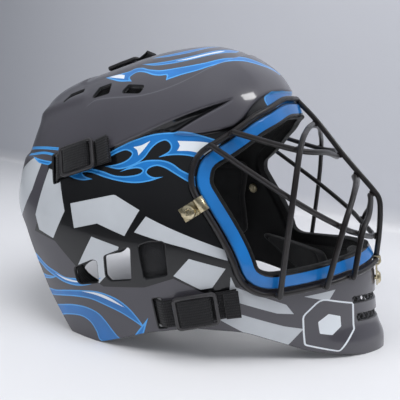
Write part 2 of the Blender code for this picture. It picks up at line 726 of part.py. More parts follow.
# ---- fixings ------------------------------------------------------------------------------------
def clip_profile(reach, wire_height):
    """A J-shaped strip in the (along, up) plane: flat base, over the wire and down behind it."""
    thick = CLIP_THICK
    inner = WIRE / 2 + HOOK_CLEAR
    base = CLIP_BASE
    half_turn = [math.radians(a) for a in (180, 150, 120, 90, 60, 30, 0, -30)]
    outer_arc = [(reach + (inner + thick) * math.cos(t), wire_height + (inner + thick) * math.sin(t))
                 for t in half_turn]
    inner_arc = [(reach + inner * math.cos(t), wire_height + inner * math.sin(t))
                 for t in half_turn]
    return [(-CLIP_END, base), (-CLIP_END, base + thick), (reach - inner - thick - 0.6, base + thick), *outer_arc,
            *reversed(inner_arc), (reach - inner, base)]


def middle_of(rim):
    """The lower point where the perimeter wire crosses the middle."""
    for a, b in zip(rim, np.roll(rim, -1, axis=0)):
        if a[1] * b[1] <= 0 and a[2] < 150:
            return a + (b - a) * a[1] / (a[1] - b[1])
    return rim[0]


def closest_on_loop(loop, place):
    best = loop[0]
    for a, b in zip(loop, np.roll(loop, -1, axis=0)):
        t = min(1, max(0, (place - a) @ (b - a) / ((b - a) @ (b - a))))
        point = a + (b - a) * t
        if np.linalg.norm(point - place) < np.linalg.norm(best - place):
            best = point
    return best


def build_fixing(label, view, screw, rim, notch):
    """A clip over the nearest wire, its screw and the nut behind the shell."""
    v, angle = locate(view, screw[0], screw[1])
    seat = shell_point(v, angle, 0.0, smooth=True)[0]
    up = base_normal(v, angle)[0]
    nearest = middle_of(rim) if notch else closest_on_loop(rim, seat)
    ahead = nearest - seat
    frame = axes_frame(seat, ahead, up)
    reach, _, height = frame.inverted() @ Vector(nearest)
    # the clip's outline lies in the frame's X-Z plane, so it is extruded along a turned frame
    side_frame = frame @ Matrix.Rotation(math.radians(90), 4, "X")
    points, faces = prism(clip_profile(reach, height), side_frame, -CLIP_WIDTH / 2, CLIP_WIDTH / 2)
    parts = [(f"{label}_clip", points, faces, 50),
             (f"{label}_screw", *lathe(SCREW_PROFILE, frame), 30),
             (f"{label}_nut", *lathe(NUT_PROFILE, frame), 30)]
    hole = lathe([(0, 6), (CLIP_HOLE / 2, 6), (CLIP_HOLE / 2, -6), (0, -6)], frame)
    gap = None
    if notch:
        half = (WIRE + 1.8) / 2
        box = [(reach - 1, -half), (reach + 8, -half), (reach + 8, half), (reach - 1, half)]
        gap = prism(box, frame, -1, 14)
    return parts, hole, gap


def build_fixings(rim):
    parts, hole, _ = build_fixing("side", "side", SIDE_SCREW, rim, notch=False)
    for hand in ("right", "left"):
        for name, points, faces, sharp in parts:
            if hand == "left":
                points = flipped(points)
            made = add_object(f"{name}_{hand}", points, faces, "clip", sharp)
            if name.endswith("clip"):
                cut(made, points=flipped(hole[0]) if hand == "left" else hole[0], faces=hole[1])
    parts, hole, gap = build_fixing("chin", "front", CHIN_SCREW, rim, notch=True)
    for name, points, faces, sharp in parts:
        made = add_object(name, points, faces, "clip", sharp)
        if name.endswith("clip"):
            cut(made, *hole)
            cut(made, *gap)


# ---- lining -------------------------------------------------------------------------------------
def pad(name, view, outline, slot="foam", lift=FOAM_LIFT, thick=FOAM, hands=("",)):
    flat = disc_places(rounded(outline, spacing=16.0), 2)
    v, angle = locate(view, flat[:, 0], flat[:, 1])
    top = shell_point(v, angle, lift, smooth=True)
    bottom = shell_point(v, angle, lift - thick, smooth=True)
    points, faces = thick_sheet(top, bottom, disc_faces((len(flat) - 1) // 2, 2))
    for hand in hands:
        add_object(name + hand, flipped(points) if hand == "_left" else points, faces, slot)


def build_lining():
    for name, (view, outline) in PADS.items():
        pad(name, view, outline)
    for name, (view, outline) in SIDE_PADS.items():
        pad(name, view, outline, hands=("_right", "_left"))
    pad("vent_liner", "side", ((-90, 186, 3), (-88, 196, 3), (-64, 198, 3), (-66, 187, 3)),
        slot="yellow_foam", thick=5.0, hands=("_right", "_left"))
    for level, vent in zip(("upper", "lower"), CHIN_VENTS):
        outline = chin_vent_loop(vent, grow=3.0)
        ring = disc_places(outline, 1)
        v, angle = locate("front", ring[:, 0], ring[:, 1])
        top = shell_point(v, angle, -WALL - 0.8, smooth=True)
        bottom = shell_point(v, angle, -WALL - 2.2, smooth=True)
        points, faces = thick_sheet(top, bottom, strip_faces(len(outline)))
        add_object(f"chin_mesh_{level}", points, faces, "mesh")


def strip_faces(count):
    """Triangles across a loop that runs along one long side and back along the other."""
    faces = []
    low, high = 0, count - 1
    while high - low > 1:
        faces.append((low, low + 1, high))
        low += 1
        if high - low > 1:
            faces.append((low, high - 1, high))
            high -= 1
    return np.array(faces)


def build_edge_trim():
    """Rubber bead that covers the cut edge of the face opening."""
    v, angle = OPENING_LOOP
    normal = base_normal(v, angle)
    inward = OPENING_POINTS.mean(axis=0) - OPENING_POINTS
    ahead = np.roll(OPENING_POINTS, -1, axis=0) - np.roll(OPENING_POINTS, 1, axis=0)
    ahead /= np.linalg.norm(ahead, axis=1, keepdims=True)
    across = np.cross(normal, ahead)
    across *= np.sign((across * inward).sum(1))[:, None]
    points = []
    faces = []
    count = len(v)
    for i in range(count):
        points += [OPENING_POINTS[i] + across[i] * a + normal[i] * b for a, b in TRIM_SECTION]
        a, b = 4 * i, 4 * ((i + 1) % count)
        faces += [(a + k, a + (k + 1) % 4, b + (k + 1) % 4, b + k) for k in range(4)]
    add_object("face_edge_trim", points, faces, "trim")


# ---- harness ------------------------------------------------------------------------------------
def plate_point(degrees, height, lift):
    turn = math.radians(degrees)
    radius = PLATE_RADIUS + lift
    lean = PLATE_CUP * (height - PLATE_MIDDLE) ** 2
    return np.array((PLATE_AXIS - (radius - lean) * math.cos(turn), (radius - lean) * math.sin(turn),
                     height))


def build_back_plate():
    corners = [(a * MM_PER_DEGREE, b, r) for a, b, r in PLATE_OUTLINE]
    flat = disc_places(rounded(corners, spacing=20.0), 3)
    flat[:, 0] /= MM_PER_DEGREE
    triangles = disc_faces((len(flat) - 1) // 3, 3)
    for name, slot, top, bottom in (("back_plate", "plate", PLATE_THICK, 0.0),
                                    ("back_plate_pad", "foam", *PLATE_PAD)):
        top_points = np.array([plate_point(a, b, top) for a, b in flat])
        bottom_points = np.array([plate_point(a, b, bottom) for a, b in flat])
        points, faces = thick_sheet(top_points, bottom_points, triangles)
        add_object(name, points, faces, slot, origin=plate_point(0, PLATE_MIDDLE, 0))


def strap_line(strap, view, inner_route):
    """Middle points, widthways vectors and normals of a strap from the back plate to its end."""
    slot = np.array(strap["slot"], float)
    heading = strap_heading(strap)
    length = np.linalg.norm(np.array(strap["end"]) - slot)
    lift_out = WEBBING_LIFT + WEBBING_THICK / 2
    stations = [(-3.4, -WALL - 1.9), (0.0, -WALL / 2), (4.2, lift_out), (10.0, lift_out)]
    stations += [(s, lift_out) for s in np.linspace(10, length, 5)[1:]]
    places = np.array([slot + heading * s for s, _ in stations])
    v, angle = locate(view, places[:, 0], places[:, 1])
    angle = np.where(np.abs(angle) > math.pi - 1e-3, math.pi, angle)
    normals = base_normal(v, angle)
    middles = base_point(v, angle) + normals * np.array([lift for _, lift in stations])[:, None]
    if view == "top":
        middles[:, 1] = 0
        normals[:, 1] = 0
        normals /= np.linalg.norm(normals, axis=1, keepdims=True)
    middles = [*[np.array(p, float) for p in inner_route], *middles]
    hints = [*[normals[0]] * len(inner_route), *normals]
    acrosses, ups = [], []
    for i, hint in enumerate(hints):
        a = middles[max(i - 1, 0)]
        b = middles[min(i + 1, len(middles) - 1)]
        ahead = (b - a) / np.linalg.norm(b - a)
        across = np.cross(hint, ahead)
        across /= np.linalg.norm(across)
        acrosses.append(across)
        ups.append(np.cross(ahead, across))
    return middles, acrosses, ups


def build_strap(name, strap, view, inner_route, hands=("",)):
    middles, acrosses, ups = strap_line(strap, view, inner_route)
    points, faces = ribbon(middles, acrosses, ups, WEBBING_WIDTH, WEBBING_THICK)
    v, angle = locate(view, *strap["buckle"])
    seat = base_point(v, angle)[0]
    up = base_normal(v, angle)[0]
    if view == "top":
        seat[1] = up[1] = 0
    near = min(range(len(middles)), key=lambda i: np.linalg.norm(middles[i] - seat))
    ahead = middles[near + 1] - middles[near - 1]
    low = WEBBING_LIFT + WEBBING_THICK + BUCKLE_LIFT
    frame = axes_frame(seat, ahead, up)
    half_l, half_w = BUCKLE_LENGTH / 2, BUCKLE_WIDTH / 2
    body = [(-half_l, -half_w), (half_l, -half_w), (half_l, half_w), (-half_l, half_w)]
    plate = prism(body, frame, low, low + BUCKLE_THICK)
    windows = []
    half_window = (BUCKLE_LENGTH - 3 * BUCKLE_BAR) / 4
    half_gap = half_w - BUCKLE_RAIL
    for middle in (-half_window - BUCKLE_BAR / 2, half_window + BUCKLE_BAR / 2):
        window = [(middle - half_window, -half_gap), (middle + half_window, -half_gap),
                  (middle + half_window, half_gap), (middle - half_window, half_gap)]
        windows.append(prism(window, frame, low - 2, low + BUCKLE_THICK + 2))
    for hand in hands:
        turn = flipped if hand == "_left" else list
        add_object(name + "_strap" + hand, turn(points), faces, "webbing")
        buckle = add_object(name + "_buckle" + hand, turn(plate[0]), plate[1], "buckle",
                            origin=turn([seat])[0])
        for window in windows:
            cut(buckle, turn(window[0]), window[1])


def build_harness():
    build_back_plate()
    sides = ("_right", "_left")
    build_strap("upper", UPPER_STRAP, "side", ((-112, -69, 97), (-118, -80, 112), (-112, -90, 126)),
                sides)
    build_strap("lower", LOWER_STRAP, "side",
                ((-100, -78, 50), (-72, -98, 40), (-40, -106, 34), (-12, -108, 33)), sides)
    build_strap("top", TOP_STRAP, "top", ((-141, 0, 107), (-154, 0, 130), (-154, 0, 160),
                                          (-146, 0, 190), (-133, 0, 208)))


def main():
    for old in list(bpy.data.objects):
        bpy.data.objects.remove(old)
    build_shell()
    build_edge_trim()
    build_fixings(build_cage())
    build_lining()
    build_harness()


main()
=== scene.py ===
"""The looks of the goalie mask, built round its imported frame.

+X is forward (the face), +Y is the wearer's left and +Z is up. Lengths below are in millimetres and
are scaled to metres where the meshes are made. The shell's surface is worked out by the same
formulas as in the model, with more points, so every visible piece lies where its solid does.
"""
import itertools
import json
import math

import bmesh
import bpy
import numpy as np
from mathutils import Matrix, Vector, geometry

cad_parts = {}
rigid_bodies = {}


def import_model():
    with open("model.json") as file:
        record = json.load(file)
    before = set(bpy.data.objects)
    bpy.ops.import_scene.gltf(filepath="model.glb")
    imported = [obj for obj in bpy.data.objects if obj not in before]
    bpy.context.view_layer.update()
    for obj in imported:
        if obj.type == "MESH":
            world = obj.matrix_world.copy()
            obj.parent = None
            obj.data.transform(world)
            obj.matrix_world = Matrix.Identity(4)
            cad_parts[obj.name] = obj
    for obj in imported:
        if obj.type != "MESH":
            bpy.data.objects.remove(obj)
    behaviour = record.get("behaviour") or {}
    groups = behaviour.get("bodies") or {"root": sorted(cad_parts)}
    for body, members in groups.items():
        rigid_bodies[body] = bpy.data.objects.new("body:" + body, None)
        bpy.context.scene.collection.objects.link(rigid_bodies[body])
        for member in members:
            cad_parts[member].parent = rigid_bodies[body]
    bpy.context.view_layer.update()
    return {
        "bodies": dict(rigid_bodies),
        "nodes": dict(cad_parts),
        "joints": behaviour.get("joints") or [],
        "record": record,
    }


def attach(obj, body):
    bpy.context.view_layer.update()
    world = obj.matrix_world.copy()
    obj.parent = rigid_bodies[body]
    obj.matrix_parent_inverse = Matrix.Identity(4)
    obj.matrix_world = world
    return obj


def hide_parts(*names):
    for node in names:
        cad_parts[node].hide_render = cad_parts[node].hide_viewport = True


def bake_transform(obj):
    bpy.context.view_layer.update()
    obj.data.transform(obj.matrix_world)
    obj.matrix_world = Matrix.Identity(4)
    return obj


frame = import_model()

MM = 0.001
SIDES = ("_right", "_left")


# ---- driving dimensions, as in the model --------------------------------------------------------
WALL = 3.5              # shell thickness
CLEAR = 1.0             # room between the lining and the pads
SECTIONS = (            # height, front x, back x, half width, widest x, corner squareness (two)
    (253.0, 2, 2, 0.0, 2, 2.00, 2.00),
    (250.5, 20, -26, 21.0, 1, 2.00, 2.00),
    (243.0, 40, -58, 42.0, 0, 2.00, 2.10),
    (230.0, 60, -97, 63.0, -2, 1.95, 2.20),
    (213.0, 73, -137, 81.0, -4, 1.85, 2.40),
    (193.0, 84, -160, 93.0, -6, 1.72, 2.65),
    (167.0, 94, -168, 102.0, -8, 1.64, 2.85),
    (139.0, 108, -172, 110.5, -10, 1.60, 3.00),
    (109.0, 133, -174, 118.0, -12, 1.60, 3.00),
    (77.0, 157, -170, 122.0, -14, 1.58, 2.90),
    (45.0, 164, -161, 122.0, -14, 1.55, 2.75),
    (20.0, 169, -152, 120.0, -14, 1.50, 2.60),
    (-5.0, 172, -141, 116.5, -14, 1.45, 2.50),
)
EDGE_SOFTNESS = 0.12    # keeps the sections smooth where they cross the axes
CROWN_TO_RIM = 345.0    # distance over the side from the crown to the lowest section

# Outlines on the right half: (first, second, corner radius) in the view's plane, where
# "front" is (y, z), "side" is (x, z) and "top" is (x, y).
FACE_OPENING = ((-30, 194, 40), (-60, 178.5, 60), (-94.5, 150, 16), (-98.5, 138, 16),
                (-93.5, 70, 7), (-45, 81.5, 60))
FACE_OPENING_TOP = 196.5
FACE_OPENING_BOTTOM = 88
BOTTOM_EDGE = ((150, 2.5, 30), (118, 8, 60), (70, 26, 60), (32, 28, 60), (0, 20, 60), (-45, 0, 30),
               (-77, 0, 8), (-101, 32, 60), (-131, 84, 25), (-150, 103, 20))
CHIN_REST = 22          # half length of the flat stretch under the chin
BACK_EDGE = 110         # height of the shell's edge at the middle of the back
EAR_HOLES = (((-71, 60, 4), (-52, 70, 4), (-47, 70, 3), (-44, 52, 3), (-66, 45.5, 6)),
             ((-41.5, 75, 3), (-18, 87, 3), (-14.5, 59.5, 3), (-34, 55, 4), (-39, 59, 4)),
             ((-12.5, 88, 3), (-4, 92, 4), (9.5, 94, 4), (14.5, 67.5, 3), (-5, 61.5, 3)))
CROWN_VENTS = (((-114, 190, 1), (-110, 201, 2), (-95, 206.5, 1), (-93, 202.5, 1), (-105, 197.5, 3)),
               ((-83, 197, 2), (-79, 208, 2), (-66.5, 212, 2), (-64, 202, 2)),
               ((-53, 202, 2), (-48, 210, 2), (-31, 209.5, 2), (-33, 202, 4)))
CHIN_VENTS = (((-37.5, 50.5, 2), (-36.5, 43.5, 2)), ((-33, 35, 2), (-32, 27.5, 2)))
CHIN_VENT_DROP = 1.8    # how much lower the vents lie at the middle
# Straps: slot centre, sewn end and buckle centre in the view, and the route inside the shell.
UPPER_STRAP = {"slot": (-102, 137), "end": (-49, 157), "buckle": (-76.5, 146.6), "view": "side",
               "inside": ((-112, -69, 97), (-118, -80, 112), (-112, -90, 126))}
LOWER_STRAP = {"slot": (9, 37), "end": (64, 51), "buckle": (35.7, 43.8), "view": "side",
               "inside": ((-100, -78, 50), (-72, -98, 40), (-40, -106, 34), (-12, -108, 33))}
TOP_STRAP = {"slot": (-118, 0), "end": (-66, 0), "buckle": (-92.5, 0), "view": "top",
             "inside": ((-141, 0, 107), (-154, 0, 130), (-154, 0, 160), (-146, 0, 190),
                        (-133, 0, 208))}
WEBBING_WIDTH = 22.0
WEBBING_THICK = 1.8
WEBBING_LIFT = 1.1      # under the webbing where it lies on the shell
SLOT_LENGTH = 26.0
SLOT_WIDTH = 8.5
BUCKLE_LENGTH = 34.0
BUCKLE_WIDTH = 26.0
BUCKLE_BAR = 3.0        # bars across the strap
BUCKLE_THICK = 3.4
BUCKLE_LIFT = 0.9       # between the webbing and the buckle
WIRE = 4.6
RIM_WIDTH = 11.5        # raised band round the face opening
RIM_HEIGHT = 3.0
RIM_SLOPE = 2.5         # width of the step down from the band
CHIN_LIP = 5.0          # how far the chin's lower edge turns out
REAR_FLARE = 3.0        # how far the rear corners turn out
CAGE_CLEAR = 0.8        # between the perimeter wire and the shell
CAGE_OFFSET = RIM_WIDTH + WIRE / 2 + CAGE_CLEAR
LAYER = WIRE + 0.35     # two wires that cross lie this far apart
SIDE_SCREW = (23.5, 116)
CHIN_SCREW = (0, 59.5)
CLIP_WIDTH = 11.0
CLIP_THICK = 1.2
CLIP_BASE = 0.9         # room between the shell and the flat clip
CLIP_END = 5.6          # behind the screw's axis, under its head
HOOK_CLEAR = 0.8        # between a clip and the wire in its hook
FOAM = 10.0
PADS = {
    "forehead_pad": ("front", ((-34, 205, 6), (34, 205, 6), (34, 222, 6), (-34, 222, 6))),
    "chin_pad": ("front", ((-30, 68, 5), (30, 68, 5), (28, 84, 5), (-28, 84, 5))),
    "crown_pad": ("top", ((-62, -36, 14), (34, -36, 14), (34, 36, 14), (-62, 36, 14))),
}
SIDE_PADS = {
    "temple_pad": ("side", ((-44, 160, 8), (22, 168, 8), (28, 196, 8), (-36, 196, 8))),
    "cheek_pad": ("side", ((-62, 102, 8), (-22, 97, 10), (-17, 56, 8), (21, 58, 8), (12, 104, 20),
                           (18, 148, 10), (-56, 144, 8))),
    "jaw_pad": ("side", ((36, 64, 8), (100, 30, 8), (132, 34, 8), (118, 62, 8), (58, 64, 6))),
    "rear_pad": ("side", ((-160, 128, 8), (-128, 128, 8), (-112, 176, 8), (-142, 180, 8))),
}
VENT_LINER = ((-90, 186, 3), (-88, 196, 3), (-64, 198, 3), (-66, 187, 3))
# Back plate: part of an upright drum behind the head
PLATE_AXIS = -40.0
PLATE_RADIUS = 92.0
PLATE_THICK = 2.5
PLATE_PAD = (-1.5, -10.0)   # the pad's outer and inner face, from the drum
PLATE_MIDDLE = 66.0     # height of the plate's middle
PLATE_CUP = 0.0016      # how fast the plate leans in, away from its middle
MM_PER_DEGREE = 1.6     # along the drum
PLATE_OUTLINE = ((-52, 58, 14), (-40, 104, 14), (40, 104, 14), (52, 58, 14), (30, 30, 16),
                 (-30, 30, 16))

# ---- sculpted detail of the outer face, in side view --------------------------------------------
# The crown cap's lower edge: along the crease, round the channel's front tip, back to the tip of
# the brow blade, and forward under the brow to the middle.
CREASE_POINTS = ((-118, 140), (-95, 144), (-70, 149.5), (-45, 159.5), (-25, 169.5), (-8, 178.5),
                 (13, 189), (28, 196.5), (38, 201.5))
BLADE_TOP_POINTS = ((38, 201.5), (33, 196.5), (26, 191), (17, 184), (9, 177.5), (4, 173.5))
BLADE_LOW_POINTS = ((4, 173.5), (14, 173.4), (24, 174.8), (34, 177.8), (43, 182), (48.5, 189.5),
                    (53, 200), (58, 208), (65, 213), (74, 215.5), (95, 216.5))
CAP_HEIGHT = 2.4
CHANNEL_DEPTH = 2.2
DECK_POINTS = ((-84, 190), (-76, 196), (-60, 198), (-45, 199), (-31, 200.5), (-13, 206), (4, 215),
               (19, 228), (30, 238), (38, 250))
DECK_DEPTH = 1.1
SCOOP = ((-150, 181), (-126, 189), (-107, 194), (-92, 198.5))
SCOOP_HEIGHT = 1.6
SCOOP_WIDTH = 4.5
CREASE_WIDTH = 2.4      # half width of the strip that each sculpted step takes

# ---- paint outlines -----------------------------------------------------------------------------
# A smooth outline is a list of (first, second) points, and a third value 0 marks a sharp tip.
FLAME_UPPER = ((37, 168.5, 0), (33, 171), (20, 174), (7, 174.5), (-12, 172), (-28, 166.5), (-41, 160),
               (-50, 154.5), (-58, 149, 0), (-50, 150.5), (-42, 155), (-35, 157.5), (-29, 155.5),
               (-32, 150.5), (-40, 146.5), (-52, 143.5, 0), (-38, 142.5), (-26, 146.5), (-18, 152.5),
               (-13, 160.5), (-8, 165.5), (-2, 167.5), (2.5, 164), (1.5, 159.5), (-6, 154.5, 0),
               (5, 157), (16, 157.5), (26, 155.5), (37, 151, 0))
# Painted highlights in the upper flame: white shapes where light glints on the glossy paint.
FLAME_UPPER_HIGHLIGHT = ((36, 167, 0), (25, 168.5), (7, 168, 0), (9.5, 164.5), (8, 160.5, 0), (18, 161),
                     (27, 159), (36, 155, 0))
FLAME_UPPER_GLINT = ((-29, 160.5, 0), (-22, 162.5), (-15, 166.5, 0), (-19, 160), (-23, 154.5, 0),
                     (-25, 158.5))
FLAME_LOWER = ((33, 137, 0), (25, 142), (14, 146.5), (7, 150.5), (0, 152.5), (-8, 152.5), (-17, 151),
               (-26, 147), (-37, 140.5, 0), (-30, 143), (-22, 144.8), (-17, 143.5), (-20, 140.5),
               (-30, 138), (-41, 137.5), (-52, 139.5), (-62, 140.5), (-72, 140.5), (-78, 138.5),
               (-77, 135.5), (-89, 133.5, 0), (-80, 131), (-70, 130.5), (-61, 132.5, 0),
               (-69, 134), (-72, 136.5), (-64, 137.3), (-50, 135), (-36, 133.5), (-22, 133.5),
               (-10, 136), (1, 140.5, 0), (-7, 139.5), (-13, 142), (-12, 145.5), (-6, 148),
               (1, 147), (8, 144), (16, 140), (24, 136), (33, 130, 0))
REAR_STRIPES = (((-150, 151.2, 0), (-124, 153.6), (-104, 154.4, 0), (-104, 151.9, 0), (-124, 151.2),
                 (-150, 148.6, 0)),
                ((-146, 145.4, 0), (-122, 149.3), (-104, 148.6, 0), (-104, 146.6, 0), (-122, 147.1),
                 (-146, 143, 0)),
                ((-136, 143.5, 0), (-124, 142.4), (-108, 142, 0), (-112, 138.8), (-124, 139, 0)))
REAR_FLAMES = (((-134, 66, 0), (-118, 62), (-104, 55), (-92, 52), (-80, 49.5), (-68, 51), (-56, 52.5),
                (-42, 57, 0), (-52, 49.5), (-66, 45), (-80, 44.5), (-92, 47), (-104, 50.5),
                (-116, 56), (-134, 57, 0)),
               ((-122, 50, 0), (-108, 45.5), (-96, 46.5), (-90, 47.5), (-98, 43.5), (-110, 41.5),
                (-122, 44, 0)),
               ((-112, 33, 0), (-94, 34.5), (-78, 38.5), (-62, 42), (-46, 44.5), (-30, 43), (-18, 38),
                (-9, 30.5), (-2, 22, 0), (-12, 27), (-24, 31.5), (-38, 34.5), (-52, 36.5),
                (-68, 35), (-84, 31.5), (-96, 28.5), (-108, 27, 0)),
               ((-100, 18, 0), (-86, 23), (-72, 27), (-58, 28.5), (-46, 26.5), (-38, 21), (-31, 14),
                (-24, 9), (-14, 12), (-8, 20), (0, 32, 0), (-6, 12), (-16, 5), (-30, 1),
                (-44, 1.5), (-48, 9), (-54, 16), (-64, 18.5), (-80, 15), (-92, 9.5, 0)))
# Painted highlights in the rear flames: white shapes where light glints on the glossy paint.
REAR_GLINTS = (((-92, 50.2, 0), (-80, 47.2), (-68, 47.5), (-56, 50.5, 0), (-66, 49), (-80, 48.6)),
               ((-62, 41.2, 0), (-46, 43.2), (-33, 41.5), (-20, 36.5, 0), (-32, 39), (-46, 41.2)))
CROWN_FLAMES = (((60, -1.5, 0), (50, -20), (36, -33), (24, -47), (12, -60), (0, -66), (-12, -69),
                 (-24, -70.5), (-36, -68), (-44, -64.3), (-51, -63.2), (-56, -65.5),
                 (-64, -65.8), (-80, -65, 0), (-72, -70), (-60, -75.6), (-46, -78.3, 0),
                 (-50.5, -74), (-49, -71), (-45.2, -69.4), (-38, -71.2), (-29, -74.8), (-22, -76),
                 (-16, -76), (-14.5, -80, 0), (-4, -76), (9, -70), (22, -58), (36, -42), (49, -28),
                 (61, -8, 0)),
                ((26, -16, 0), (18, -28), (8, -42), (-4, -52), (-18, -58), (-32, -60), (-48, -58, 0),
                 (-34, -63.5), (-20, -63.5), (-6, -60), (6, -53), (16, -43), (26, -28, 0)),
                ((8, -12, 0), (0, -26), (-12, -38), (-26, -45), (-44, -48, 0), (-28, -50.5),
                 (-12, -46.5), (-2, -38), (8, -22, 0)))
# Painted highlights in the crown flames: white shapes where light glints on the glossy paint.
CROWN_GLINTS = (((18, -33, 0), (8, -46), (-4, -55), (-16, -60, 0), (-4, -57.5), (7, -50), (16, -40)),
                ((-76, -66, 0), (-66, -66.5), (-58, -69.5, 0), (-56, -74, 0), (-66, -70.5)))
# Angular blocks: (x, z, corner radius)
SHARDS = (((-166, 112, 0), (-150, 130, 0), (-132, 143, 0), (-120, 141, 0), (-126, 116, 0),
           (-142, 84, 0), (-154, 88, 0)),
          ((-110, 136, 0), (-97, 134, 0), (-84, 104, 0), (-94, 80, 0), (-112, 84, 0), (-118, 96, 0)),
          ((-79, 111, 0), (-38, 123, 5), (-14, 114, 0), (-24, 93, 0), (-50, 99, 0), (-72, 92, 0)),
          ((-54, 88, 0), (-28, 84, 0), (-32, 66, 0), (-44, 52, 0), (-66, 62, 0)),
          ((-8, 110, 0), (52, 90, 0), (55, 82, 0), (24, 90, 0), (-16, 97, 0)),
          ((28, 82, 0), (54, 76, 0), (46, 61, 0), (38, 59, 0), (18, 68, 0)),
          ((58, 70, 0), (62, 62, 0), (98, 48, 0), (104, 40, 0), (92, 41, 0), (58, 52, 0)),
          ((50, 37, 0), (68, 40, 0), (98, 30, 0), (112, 27, 0), (102, 14, 0), (70, 25, 0)),
          ((110, 54, 0), (132, 58, 0), (128, 49, 0)))
# The dark panel, from the crown crease down to the lower edge of the side
PANEL = ((-112, 139, 0), (-95, 144, 0), (-70, 149.5, 0), (-45, 159.5, 0), (-25, 169.5, 0),
         (-8, 178.5, 0), (13, 189, 0), (28, 196.5, 0), (38, 201.5, 0), (26, 191, 0), (9, 177.5, 0),
         (4, 173.5, 0), (24, 174.8, 0), (34, 177.8, 0), (43, 182, 0), (48.5, 189.5, 0), (53, 200, 0),
         (58, 208, 0), (70, 204, 0), (120, 90, 0), (60, 60, 0), (44, 55, 0), (18, 66, 0),
         (-4, 56, 0), (-40, 50, 0), (-66, 60, 0), (-92, 78, 0), (-118, 82, 0), (-108, 112, 0))
FOREHEAD_PATCH = ((-48, 199, 3), (-50, 207, 5), (-40, 212, 6), (-24, 214.5, 8), (0, 216, 30),
                  (24, 214.5, 8), (40, 212, 6), (50, 207, 5), (48, 199, 3), (0, 206, 30))
EMBLEM = ((113, 13, 3), (110, 38, 6), (122, 52, 8), (147, 45, 2), (150, 22, 3), (138, 6, 3))
EMBLEM_CORE = ((124, 22, 1), (122, 32, 1), (129, 38, 1), (138, 35, 1), (139.5, 26, 1), (133, 20, 1))
EMBLEM_LINE = 1.3
FLAME_LINE = 1.1        # width of the lighter edge of each flame
RIM_LINE = 1.1          # dark lines at both edges of the rim band

# ---- colours (linear) ---------------------------------------------------------------------------
GREY = (0.060, 0.057, 0.068)
BLACK = (0.0035, 0.0035, 0.0042)
BLUE = (0.008, 0.145, 0.440)
SKY = (0.060, 0.310, 0.700)
# White, for the emblem's print and for the painted highlights in the flames
WHITE = (0.72, 0.76, 0.80)
SILVER = (0.50, 0.525, 0.555)


# ---- the shell's surface ------------------------------------------------------------------------
def spline(values, level_start=False):
    """Values and slopes of a smooth curve through evenly spaced values."""
    values = np.array(values, float)
    count = len(values)
    matrix = np.zeros((count, count))
    right = np.zeros(count)
    for i in range(1, count - 1):
        matrix[i, i - 1:i + 2] = (1, 4, 1)
        right[i] = 3 * (values[i + 1] - values[i - 1])
    if level_start:
        matrix[0, 0] = 1
    else:
        matrix[0, :2] = (2, 1)
        right[0] = 3 * (values[1] - values[0])
    matrix[-1, -2:] = (1, 2)
    right[-1] = 3 * (values[-1] - values[-2])
    return values, np.linalg.solve(matrix, right)


def along(curve, v):
    """The curve's value at v, from 0 at the crown to 1 at the lowest section."""
    values, slopes = curve
    place = np.clip(v, 0, 1) * (len(values) - 1)
    i = np.minimum(place.astype(int), len(values) - 2)
    f = place - i
    return (values[i] * (1 + 2 * f) * (1 - f) ** 2 + slopes[i] * f * (1 - f) ** 2
            + values[i + 1] * f * f * (3 - 2 * f) + slopes[i + 1] * f * f * (f - 1))


HEIGHT = spline([s[0] for s in SECTIONS], level_start=True)
FRONT_REACH = spline([s[1] - s[4] for s in SECTIONS])
BACK_REACH = spline([s[4] - s[2] for s in SECTIONS])
HALF_WIDTH = spline([s[3] for s in SECTIONS])
WIDEST_X = spline([s[4] for s in SECTIONS])
FRONT_POWER = spline([2 / s[5] for s in SECTIONS])
BACK_POWER = spline([2 / s[6] for s in SECTIONS])


def squared_off(c, power):
    """A cosine or sine raised to a power, smooth where it crosses zero."""
    soft = EDGE_SOFTNESS ** 2
    return c * ((c * c + soft) / (1 + soft)) ** ((power - 1) / 2)


def base_point(v, angle):
    """Smooth outer surface; angle is 0 at the front, negative on the right and pi at the back."""
    c, s = np.cos(angle), np.sin(angle)
    turn = np.sin(np.pi * c / 2)
    front = (1 + turn * (1.5 - 0.5 * turn * turn)) / 2
    reach = along(BACK_REACH, v) * (1 - front) + along(FRONT_REACH, v) * front
    power = along(BACK_POWER, v) * (1 - front) + along(FRONT_POWER, v) * front
    return np.stack([along(WIDEST_X, v) + reach * squared_off(c, power),
                     along(HALF_WIDTH, v) * squared_off(s, power),
                     along(HEIGHT, v) + 0 * c], -1)


def normal_of(surface, v, angle):
    """Unit normals of a surface(v, angle), pointing out."""
    step = 3e-4
    v = np.clip(v, 0.004, 1 - step)
    down = surface(v + step, angle) - surface(v - step, angle)
    round_ = surface(v, angle + step) - surface(v, angle - step)
    normal = np.cross(down, round_)
    return normal / np.linalg.norm(normal, axis=-1, keepdims=True)


def base_normal(v, angle):
    return normal_of(base_point, v, angle)


def step_up(value, start, end):
    """A smooth step from 0 at start to 1 at end."""
    t = np.clip((value - start) / (end - start), 0, 1)
    return t * t * (3 - 2 * t)


def line_distance(points, line, closed=False):
    """Distance from each point to a line of points, in 2-D or 3-D."""
    line = np.array(line, float)
    ends = np.roll(line, -1, axis=0) if closed else line[1:]
    nearest = np.full(points.shape[:-1], 1e9)
    for a, b in zip(line, ends):
        t = np.clip(((points - a) @ (b - a)) / ((b - a) @ (b - a)), 0, 1)
        nearest = np.minimum(nearest, np.linalg.norm(points - a - t[..., None] * (b - a), axis=-1))
    return nearest


def inside(points, loop):
    """Which 2-D points lie inside a closed 2-D loop."""
    result = np.zeros(points.shape[:-1], bool)
    a, b = points[..., 0], points[..., 1]
    for p, q in zip(loop, np.roll(loop, -1, axis=0)):
        crosses = (p[1] > b) != (q[1] > b)
        rise = (q[1] - p[1]) if abs(q[1] - p[1]) > 1e-12 else 1e-12
        result ^= crosses & (a < (q[0] - p[0]) * (b - p[1]) / rise + p[0])
    return result


